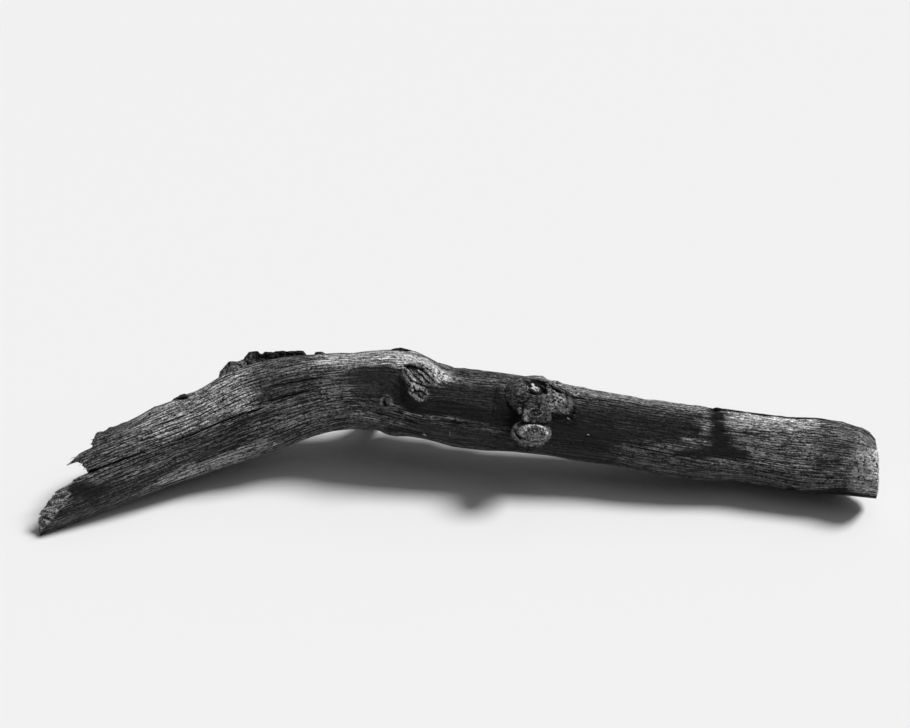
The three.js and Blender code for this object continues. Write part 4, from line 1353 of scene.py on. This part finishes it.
@dataclass(frozen=True)
class TurnedStub:
    """A short stub: a turned outline with an uneven wall and an end that carries arcs.

    The outline holds radius, height and tone from the sunk foot to the middle of the end. Rows from
    the one numbered end_from on belong to the end, whose middle is shifted by drift. oval is its
    width as a share of its length, check how open its radial cracks are, and square the power of
    its section: 2 for a round one, more for one with flat sides.
    """

    name: str
    seat: Seat
    outline: tuple[Triple, ...]
    end_from: int
    layer: int
    oval: float = 1.0
    drift: Pair = (0.0, 0.0)
    arcs: tuple[Arc, ...] = ()
    uneven: float = 0.12
    check: float = 0.35
    square: float = 2.0
    rows: int = 110
    ring_step: float = 0.13
    ring_width: float = 0.55

    def rings(self) -> tuple[Array, Array]:
        """The outline, filled in to closely spaced rings.

        Returns:
            Radius, height and tone of each ring, and the row number that it has in the outline.
        """
        outline = np.array(self.outline)
        steps = np.hypot(*np.diff(outline[:, :2], axis=0).T)
        travelled = np.concatenate([[0.0], np.cumsum(steps)])
        at = np.linspace(0.0, travelled[-1], int(travelled[-1] / self.ring_step))
        number = np.interp(at, travelled, np.arange(len(outline)))
        columns = [np.interp(at, travelled, outline[:, k]) for k in range(3)]
        return np.stack(columns, -1), number

    def section(self, radius: Array, deg: Array, wall: Array) -> Array:
        """Distance of the wall from the axis, with flat sides where the stub has them.

        Args:
            radius: Radius of the outline.
            deg: Degrees round the stub.
            wall: Unevenness of the wall, in mm.

        Returns:
            The distance in millimetres.
        """
        sides = np.abs(np.cos(deg * RAD)) ** self.square + np.abs(np.sin(deg * RAD)) ** self.square
        return (radius + wall * np.minimum(radius, 1.5)) * sides ** (-1.0 / self.square)

    def build(self) -> bpy.types.Object:
        """Builds the stub as one closed piece with its attributes.

        Returns:
            The piece.
        """
        rings, number = self.rings()
        tube = Tube.rolled(self.name, len(rings), self.rows)
        noise = Noise(self.layer)
        turn = np.arange(self.rows) / self.rows * 360.0
        at, deg = np.broadcast_arrays(number[:, None], turn[None, :])
        radius, height, tone = (np.broadcast_to(rings[:, k, None], at.shape) for k in range(3))
        end = eased(self.end_from - 0.6, self.end_from + 0.2, at)
        bark = noise.over(height * 4, deg, 3.0, 26, 1)
        scale = noise.over(height * 8, deg, 3.0, 11, 2)
        grains = noise.over(radius * 5 + height * 5, deg, 1.0, 60, 3)
        shape = self.section(radius, deg, self.uneven * (scale + 0.6 * bark) * (1 - 0.6 * end))
        inward = end * (1 - np.clip(radius / max(rings[:, 0]), 0.0, 1.0))
        u = shape * np.cos(deg * RAD) + self.drift[0] * inward
        v = shape * np.sin(deg * RAD) + self.drift[1] * inward
        sway = 1.5 * noise.over(radius, deg, 2.0, 7, 4)
        growth = np.sin(np.hypot(u, v) * 2 * math.pi / self.ring_width + sway)
        radial = eased(0.25, -0.5, noise.over(0.0, deg, 3.0, 38, 5))
        lift = end * 0.035 * growth + 0.05 * grains
        tone = tone * (1 + end * (0.16 * growth + 0.4 * grains) + (1 - end) * (0.6 * bark + 0.5 * grains))
        groove = end * self.check * radial + (1 - end) * 0.6 * eased(-0.1, -0.6, bark)
        for arc in self.arcs:
            cover = arc.cover(u, v)
            lift = lift + arc.lift * cover
            tone = tone + (arc.tone - tone) * cover
            groove = groove * (1 - cover)
        height = height + lift
        wood = np.stack([height, u, v], -1) * 0.1 + self.layer
        surface = Surface.even(np.clip(tone, 0.004, 0.8), groove, 0.5, 0.7)
        return tube.finish(self.seat.place(u, height, -v * self.oval), surface, wood)


@dataclass(frozen=True)
class BarkPatch:
    """Bark that never came off: a sheet with a broken edge, cracked into blocks.

    The outline holds station, height in mm, and the degrees of its front edge and its back edge.
    tones are its lightness from the first station to the last, and ramps the shares of its width
    over which its front edge rises.
    """

    name: str
    limb: Limb
    weather: Weathering
    outline: tuple[tuple[float, float, float, float], ...]
    block: Pair
    step: float = 0.14
    rows: int = 64
    root: float = 0.9
    slant: float = 16.0
    tones: tuple[float, ...] = (0.035, 0.035)
    ramps: tuple[float, ...] = (0.04, 0.04)

    def spread(self, x: Array, values: tuple[float, ...]) -> Array:
        """Values that are spread evenly from the first station to the last, at x."""
        return np.interp(x, np.linspace(self.outline[0][0], self.outline[-1][0], len(values)), values)

    def ragged(self, x: Array, t: Array, top: Array, front: Array, back: Array) -> tuple[Array, Array]:
        """Where each row lies, between a crumbled front edge and a frayed back edge.

        Args:
            x: Stations in millimetres.
            t: Turns round the patch's own section.
            top: How far each row is up the section.
            front: Degrees of the front edge.
            back: Degrees of the back edge.

        Returns:
            Degrees round the limb, and the share of the width from front to back.
        """
        noise = self.weather.noise
        over = np.interp(t, *SECTION_OVER)
        over = over + (self.spread(x, self.ramps) - SECTION_OVER[1][1]) * np.interp(t, *SECTION_RAMP)
        wander = 2.2 * noise.over(x, 40 * top, 1.2, 30, 71) + 1.4 * noise.over(x, 40 * top, 0.5, 60, 72)
        frayed = 5.5 * noise.over(x, 0.0, 1.5, 30, 76) + 4.0 * noise.over(x, 0.0, 0.5, 60, 77)
        frayed = np.minimum(frayed, 0.1 * (front - back))
        return front + (back - front) * over + wander * (1 - over) + frayed * over, over

    def build(self) -> bpy.types.Object:
        """Builds the patch as one closed piece with its attributes.

        Returns:
            The piece.
        """
        outline = np.array(self.outline)
        first, last = outline[0, 0], outline[-1, 0]
        x = np.linspace(first, last, int((last - first) / self.step))[:, None]
        high, front, back = (np.interp(x, outline[:, 0], outline[:, k]) for k in (1, 2, 3))
        tube = Tube.rolled(self.name, len(x), self.rows)
        noise = self.weather.noise
        x, t = np.broadcast_arrays(x, np.arange(self.rows)[None, :] / self.rows)
        top = np.interp(t, *SECTION_TOP)
        deg, over = self.ragged(x, t, top, front, back)
        askew = noise.over(x, deg, 2.2, 34, 78)
        border, number = self.weather.cells(x + 1.1 * askew, deg + 6.0 * askew, self.block, self.slant)
        crack = eased(0.13, 0.02, border) * eased(-0.7, -0.1, noise.over(x, deg, 1.6, 40, 79))
        layers = noise.over(x, 60 * top + 200, 2.6, 44, 73)
        rugged = 0.22 * (number - 0.5) + 0.10 * noise.over(x, deg, 0.8, 70, 74) - 0.75 * crack * (over > 0.03)
        height = high * top + np.minimum(high, 1.0) * top * rugged - self.root * (1 - top)
        tone = self.spread(x, self.tones)
        tone = tone * (1 + 0.6 * layers + 0.5 * noise.over(x, deg, 0.9, 80, 75)) * (1 - 0.7 * crack)
        wood = np.stack([30 + height, x, in_mm(deg)], -1) * 0.1
        surface = Surface.even(np.clip(tone, 0.004, 0.5), 0.8 * crack, 0.7, 0.7)
        return tube.finish(self.limb.point(x, deg, 1.0, height), surface, wood)


@dataclass
class LooseFibres:
    """Fibres and splinters that stand off the wood, joined into one piece."""

    limb: Limb
    fibres: tuple[Fibre, ...]
    rings: int = 9
    sides: int = 5

    def strand(self, fibre: Fibre) -> bpy.types.Object:
        """Builds one fibre as a thin closed tube that tapers to its tip.

        Args:
            fibre: The fibre.

        Returns:
            The piece.
        """
        seat = Seat.leaning(self.limb.point(np.array([fibre.x]), np.array([fibre.deg]))[0], fibre.lean)
        t = np.linspace(0.0, 1.0, self.rings)[:, None]
        turn = np.arange(self.sides) / self.sides * 2 * math.pi
        thick = fibre.radius * (1.05 - 0.85 * t)
        bend = np.array(fibre.curl) * (t**2)[..., None] * fibre.length
        places = seat.place(thick * np.cos(turn), (t - 0.08) * fibre.length, thick * np.sin(turn)) + bend
        surface = Surface.even(np.full(places.shape[:2], fibre.tone), 0.0, 0.4, 0.0)
        return Tube.rolled("fibre", self.rings, self.sides).finish(places, surface, places * 0.1 + 60)

    def build(self) -> bpy.types.Object:
        """Builds every fibre and joins them.

        Returns:
            The piece.
        """
        strands = [self.strand(fibre) for fibre in self.fibres]
        Bench.clear()
        for strand in strands:
            strand.select_set(True)
        bpy.context.view_layer.objects.active = strands[0]
        bpy.ops.object.join()
        strands[0].name = strands[0].data.name = "loose_fibres"
        return strands[0]


Socket = bpy.types.NodeSocket


class NodeDesk:
    """Short calls for laying out a node tree; a value is a number or a socket."""

    def __init__(self, tree: bpy.types.NodeTree) -> None:
        """Takes the tree to lay out."""
        self.tree = tree

    def feed(self, socket: Socket, value: Socket | float | tuple) -> None:
        """Links a socket, or sets its value.

        Args:
            socket: The input.
            value: The output to link it to, or the value to give it.
        """
        if isinstance(value, bpy.types.NodeSocket):
            self.tree.links.new(value, socket)
        else:
            socket.default_value = value

    def add(self, kind: str, **inputs: Socket | float | tuple) -> bpy.types.Node:
        """Places a node and feeds the inputs that are named, with _ for a space in a name.

        Args:
            kind: Type of the node, without its first word.
            **inputs: Values by the names of the inputs.

        Returns:
            The node.
        """
        node = self.tree.nodes.new("ShaderNode" + kind)
        for label, value in inputs.items():
            self.feed(node.inputs[label.replace("_", " ")], value)
        return node

    def math(self, operation: str, *values: Socket | float) -> Socket:
        """A math node.

        Args:
            operation: What it does.
            *values: Its values in order.

        Returns:
            The result.
        """
        node = self.add("Math")
        node.operation = operation
        for socket, value in zip(node.inputs, values):
            self.feed(socket, value)
        return node.outputs[0]

    def times(self, first: Socket | float, second: Socket | float) -> Socket:
        """The product of two values."""
        return self.math("MULTIPLY", first, second)

    def noise(self, place: Socket, scale: Pair | float, detail: float, distortion: float = 0.0) -> Socket:
        """Fractal noise at a place.

        Args:
            place: The place.
            scale: Scale along the grain and across it, or one scale for both.
            detail: Detail of the noise.
            distortion: Its distortion.

        Returns:
            The noise, about 0.5.
        """
        if isinstance(scale, tuple):
            along, across = scale
            place = self.add("Mapping", Vector=place, Scale=(along, across, across)).outputs["Vector"]
            scale = 1.0
        node = self.add("TexNoise", Vector=place, Scale=scale, Detail=detail, Distortion=distortion)
        self.feed(node.inputs["Roughness"], 0.6)
        return node.outputs[0]

    def band(self, value: Socket, low: float, high: float, start: float = 0.0, end: float = 1.0) -> Socket:
        """A smooth step from one value to another.

        Args:
            value: What is looked at.
            low: Where the step begins.
            high: Where it ends.
            start: The result below low.
            end: The result above high.

        Returns:
            The result.
        """
        node = self.add("MapRange", Value=value, From_Min=low, From_Max=high, To_Min=start, To_Max=end)
        node.interpolation_type = "SMOOTHSTEP"
        return node.outputs[0]

    def lines(
        self,
        turn: Socket,
        wander: Socket,
        drift: Socket,
        spread: Socket,
        count: float,
        reach: tuple[float, float, float, float],
    ) -> Socket:
        """Cracks that run along the grain.

        Args:
            turn: Turns round the limb.
            wander: Noise by which the cracks sway together.
            drift: Noise by which their distances differ.
            spread: Noise by which they open and close.
            count: Whole number of cracks round the limb.
            reach: Range of spread from closed to open, then the half-widths it stands for.

        Returns:
            1 in a crack and 0 beside it.
        """
        phase = self.math("MULTIPLY_ADD", wander, 1.8, self.times(turn, count))
        phase = self.math("MULTIPLY_ADD", drift, 0.9, phase)
        away = self.math("ABSOLUTE", self.math("SUBTRACT", self.math("FRACT", phase), 0.5))
        return self.band(self.math("SUBTRACT", self.band(spread, *reach), away), 0.0, 0.07)

    def use(self, group: bpy.types.NodeTree, **inputs: Socket | float) -> bpy.types.Node:
        """Places a group and feeds its inputs.

        Args:
            group: The group.
            **inputs: Values by the names of its inputs.

        Returns:
            The node.
        """
        node = self.add("Group")
        node.node_tree = group
        for label, value in inputs.items():
            self.feed(node.inputs[label], value)
        return node


@dataclass
class Group:
    """A node group that is being laid out: a place goes in and values come out."""

    name: str
    outputs: tuple[str, ...]

    def __post_init__(self) -> None:
        """Makes the group with its named sockets."""
        self.tree: bpy.types.NodeTree = bpy.data.node_groups.new(self.name, "ShaderNodeTree")
        self.tree.interface.new_socket(name="Place", in_out="INPUT", socket_type="NodeSocketVector")
        for label in self.outputs:
            self.tree.interface.new_socket(name=label, in_out="OUTPUT", socket_type="NodeSocketFloat")
        self.desk = NodeDesk(self.tree)
        self.place: Socket = self.tree.nodes.new("NodeGroupInput").outputs["Place"]
        self.result: bpy.types.Node = self.tree.nodes.new("NodeGroupOutput")

    def put(self, label: str, value: Socket) -> None:
        """Leads a value to the output with this label."""
        self.desk.feed(self.result.inputs[label], value)


def grain_group() -> bpy.types.NodeTree:
    """Lays out the drying cracks, the fibres and the specks of dry wood.

    Returns:
        The group, which takes a place in the grain's space in cm.
    """
    group = Group("dry_grain", ("Cracks", "Fibres", "Specks", "Pale"))
    desk, place = group.desk, group.place
    parts = desk.add("SeparateXYZ", Vector=place).outputs
    turn = desk.math("DIVIDE", desk.math("ARCTAN2", parts["Z"], parts["Y"]), 2 * math.pi)
    wander = desk.noise(place, (0.4, 2.4), 2.0)
    drift = desk.noise(place, (0.8, 6.0), 2.0)
    broad = desk.noise(place, (1.8, 9.0), 3.0)
    narrow = desk.noise(place, (3.4, 18.0), 2.0)
    wide_line = desk.lines(turn, wander, drift, broad, 68.0, (0.40, 0.56, 0.06, 0.21))
    fine_line = desk.lines(turn, drift, wander, narrow, 103.0, (0.45, 0.58, 0.0, 0.26))
    group.put("Cracks", desk.math("MAXIMUM", wide_line, desk.times(fine_line, 0.8)))
    group.put("Fibres", desk.band(desk.noise(place, (4.5, 34.0), 2.0), 0.40, 0.60))
    group.put("Specks", desk.band(desk.noise(place, (17.0, 26.0), 2.0), 0.41, 0.59))
    group.put("Pale", desk.band(desk.noise(place, (10.0, 18.0), 1.0), 0.60, 0.70))
    return group.tree


def wool_group() -> bpy.types.NodeTree:
    """Lays out the crumbled, woolly surface of rotten wood and bark.

    Returns:
        The group, which takes a place in metres.
    """
    group = Group("crumbled_wood", ("Crumbs", "Holes"))
    crumbs = group.desk.noise(group.place, 1500.0, 2.0, 0.4)
    group.put("Crumbs", group.desk.band(crumbs, 0.36, 0.64))
    group.put("Holes", group.desk.band(crumbs, 0.36, 0.45, 1.0, 0.0))
    return group.tree


@dataclass(frozen=True)
class WoodFinish:
    """Dry, matt, grey wood with a fibrous, cracked grain."""

    name: str = "weathered_wood"
    roughness: float = 0.85
    gloss: float = 0.25
    crack_depth: float = 0.91
    fibre_contrast: float = 1.15
    speck_contrast: float = 1.05
    pale_gain: float = 0.5
    darkest: float = 0.003
    bump_height: float = 0.00016  # in metres

    def material(self) -> bpy.types.Material:
        """Builds the material from the attributes of the mesh and the two shared groups.

        Returns:
            The material.
        """
        material = bpy.data.materials.new(self.name)
        material.use_nodes = True
        desk = NodeDesk(material.node_tree)
        tone, wear, wood = (desk.add("Attribute") for _ in range(3))
        tone.attribute_name, wear.attribute_name, wood.attribute_name = "tone", "wear", "wood"
        groove, rough, wool = desk.add("SeparateXYZ", Vector=wear.outputs["Vector"]).outputs
        grain = desk.use(grain_group(), Place=wood.outputs["Vector"]).outputs
        crumbled = desk.use(wool_group(), Place=desk.add("TexCoord").outputs["Object"]).outputs
        fibres = desk.times(desk.math("SUBTRACT", grain["Fibres"], 0.5), self.fibre_contrast)
        specks = desk.times(desk.math("SUBTRACT", grain["Specks"], 0.5), self.speck_contrast)
        crumbs = desk.times(desk.math("SUBTRACT", crumbled["Crumbs"], 0.5), wool)
        varied = desk.math("ADD", desk.times(desk.math("ADD", fibres, specks), rough), 1.0)
        varied = desk.math("ADD", varied, crumbs)
        pale = desk.times(desk.times(grain["Pale"], rough), self.pale_gain)
        shade = desk.times(tone.outputs["Fac"], desk.math("ADD", varied, pale))
        fine = desk.times(grain["Cracks"], desk.math("SUBTRACT", rough, wool))
        holes = desk.times(crumbled["Holes"], wool)
        deep = desk.math("MINIMUM", desk.math("ADD", groove, desk.math("MAXIMUM", fine, holes)), 1.0)
        dark = desk.math("MULTIPLY_ADD", deep, -self.crack_depth, 1.0)
        value = desk.math("MAXIMUM", desk.times(shade, dark), self.darkest)
        bump = desk.add("Bump", Distance=self.bump_height, Height=desk.math("SUBTRACT", varied, deep))
        shader = material.node_tree.nodes["Principled BSDF"].inputs
        grey = desk.add("CombineColor", Red=value, Green=value, Blue=value)
        desk.feed(shader["Base Color"], grey.outputs["Color"])
        desk.feed(shader["Roughness"], self.roughness)
        desk.feed(shader["Specular IOR Level"], self.gloss)
        desk.feed(shader["Normal"], bump.outputs["Normal"])
        return material


@dataclass
class Stage:
    """The pale floor, the light and the camera."""

    floor_size: float = 8.0  # in metres
    floor_tone: float = 0.86
    key_light: Pair = (3.32, 19.0)  # strength, and width of its disc in degrees
    spill_light: Pair = (0.56, 85.0)
    fill: float = 0.062
    light_from: Triple = (0.75, 0.25, 1.0)
    camera_place: Triple = (0.0, -329.6, 280.2)  # in the limb's millimetres
    camera_pitch: float = 37.0
    lens: float = 70.0

    def floor(self) -> None:
        """Adds the floor."""
        bpy.ops.mesh.primitive_plane_add(size=self.floor_size)
        floor = bpy.context.active_object
        floor.name = "floor"
        material = bpy.data.materials.new("pale_floor")
        material.use_nodes = True
        shader = material.node_tree.nodes["Principled BSDF"].inputs
        shader["Base Color"].default_value = (self.floor_tone,) * 3 + (1.0,)
        shader["Roughness"].default_value = 0.9
        shader["Specular IOR Level"].default_value = 0.1
        floor.data.materials.append(material)

    def light(self, name: str, strength: float, spread: float) -> None:
        """Adds a broad light.

        Args:
            name: Its name.
            strength: Its strength.
            spread: Width of its disc, in degrees.
        """
        bpy.ops.object.light_add(type="SUN")
        light = bpy.context.active_object
        light.name = name
        light.data.energy = strength
        light.data.angle = spread * RAD
        light.rotation_euler = Vector(self.light_from).to_track_quat("Z", "Y").to_euler()

    def camera(self) -> None:
        """Adds the camera at the photograph's viewing angle."""
        x, y, z = self.camera_place
        place = ((x - ORIGIN_X) * MM, (y - ORIGIN_Y) * MM, z * MM)
        bpy.ops.object.camera_add(location=place, rotation=((90.0 - self.camera_pitch) * RAD, 0.0, 0.0))
        camera = bpy.context.active_object
        camera.data.lens = self.lens
        camera.data.sensor_width = 36.0
        camera.data.clip_start = 0.01
        bpy.context.scene.camera = camera

    def build(self) -> None:
        """Adds the floor, the lights, the soft light of the room and the camera."""
        Bench.clear()
        self.floor()
        self.light("key_light", *self.key_light)
        self.light("spill_light", *self.spill_light)
        world = bpy.data.worlds.new("soft_room")
        world.use_nodes = True
        room = world.node_tree.nodes["Background"].inputs
        room["Color"].default_value = (1.0, 1.0, 1.0, 1.0)
        room["Strength"].default_value = self.fill
        bpy.context.scene.world = world
        self.camera()
        bpy.context.scene.view_settings.view_transform = "Standard"
        bpy.context.scene.view_settings.look = "None"


def stubs(limb: Limb) -> tuple[TurnedStub, ...]:
    """The neck and the cut stub on the front, and the stub that props up the bend from behind.

    Args:
        limb: The limb that they grow on.

    Returns:
        The three stubs.
    """
    neck = Seat.leaning(limb.point(np.array([19.1]), np.array([47.2]))[0], (0.0, -0.8, 0.65))
    cut = Seat.leaning(limb.centre(17.8) + (0.0, -11.5, 4.75), (0.06, -0.47, 0.88))
    prop = Seat.leaning(limb.centre(-18.0) + (0.0, 7.2, -7.0), (-0.1, 0.3, -0.95))
    return (
        TurnedStub("neck_stub", neck, NECK_OUTLINE, 3, 204, 0.6, arcs=NECK_ARCS, square=4.0),
        TurnedStub("cut_stub", cut, CUT_OUTLINE, 4, 202, 0.74, (0.9, 0.5), CUT_ARCS, 0.05, 0.25),
        TurnedStub("prop_stub", prop, PROP_OUTLINE, 7, 203, uneven=0.2, square=2.5),
    )


def bark(limb: Limb, weather: Weathering) -> tuple[BarkPatch, ...]:
    """The crust and the flake on the torn limb, the lump and the ridge at the bend, and the dark strip.

    Args:
        limb: The limb that they cover.
        weather: Its weathering.

    Returns:
        The five patches of bark.
    """
    tones, ramps = (0.19, 0.12, 0.03, 0.02, 0.02), (0.3, 0.2, 0.04, 0.04, 0.04)
    return (
        BarkPatch("bark_crust", limb, weather, CRUST_OUTLINE, (3.8, 1.9), 0.14, 96, tones=tones, ramps=ramps),
        BarkPatch("bark_lump", limb, weather, LUMP_OUTLINE, (1.8, 1.8)),
        BarkPatch("bark_ridge", limb, weather, RIDGE_OUTLINE, (4.0, 3.0)),
        BarkPatch("bark_strip", limb, weather, STRIP_OUTLINE, (2.6, 1.3), 0.2, tones=(0.015, 0.03)),
        BarkPatch("bark_flake", limb, weather, FLAKE_OUTLINE, (2.4, 2.4), tones=(0.03, 0.03)),
    )


def main() -> None:
    """Builds the pieces in order, dresses them and reports each one."""
    logging.basicConfig(level=logging.INFO, format="%(name)s: %(message)s")
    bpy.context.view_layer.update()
    limb = Limb()
    weather = Weathering()
    wood = WoodFinish().material()
    pieces = [
        LimbSkin(limb, weather).build(),
        KnotSkin("bend_knot", limb, weather, BEND_KNOT_SPAN).build(),
        KnotSkin("collar", limb, weather, COLLAR_SPAN).build(),
        *(stub.build() for stub in stubs(limb)),
        *(patch.build() for patch in bark(limb, weather)),
        LooseFibres(limb, FIBRES).build(),
    ]
    for piece in pieces:
        piece.data.materials.append(wood)
        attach(piece, "root")
        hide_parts("twig")
        LOG.info("%s: %d faces", piece.name, len(piece.data.polygons))
    Stage().build()
    Bench.clear()


if __name__ == "__main__":
    main()
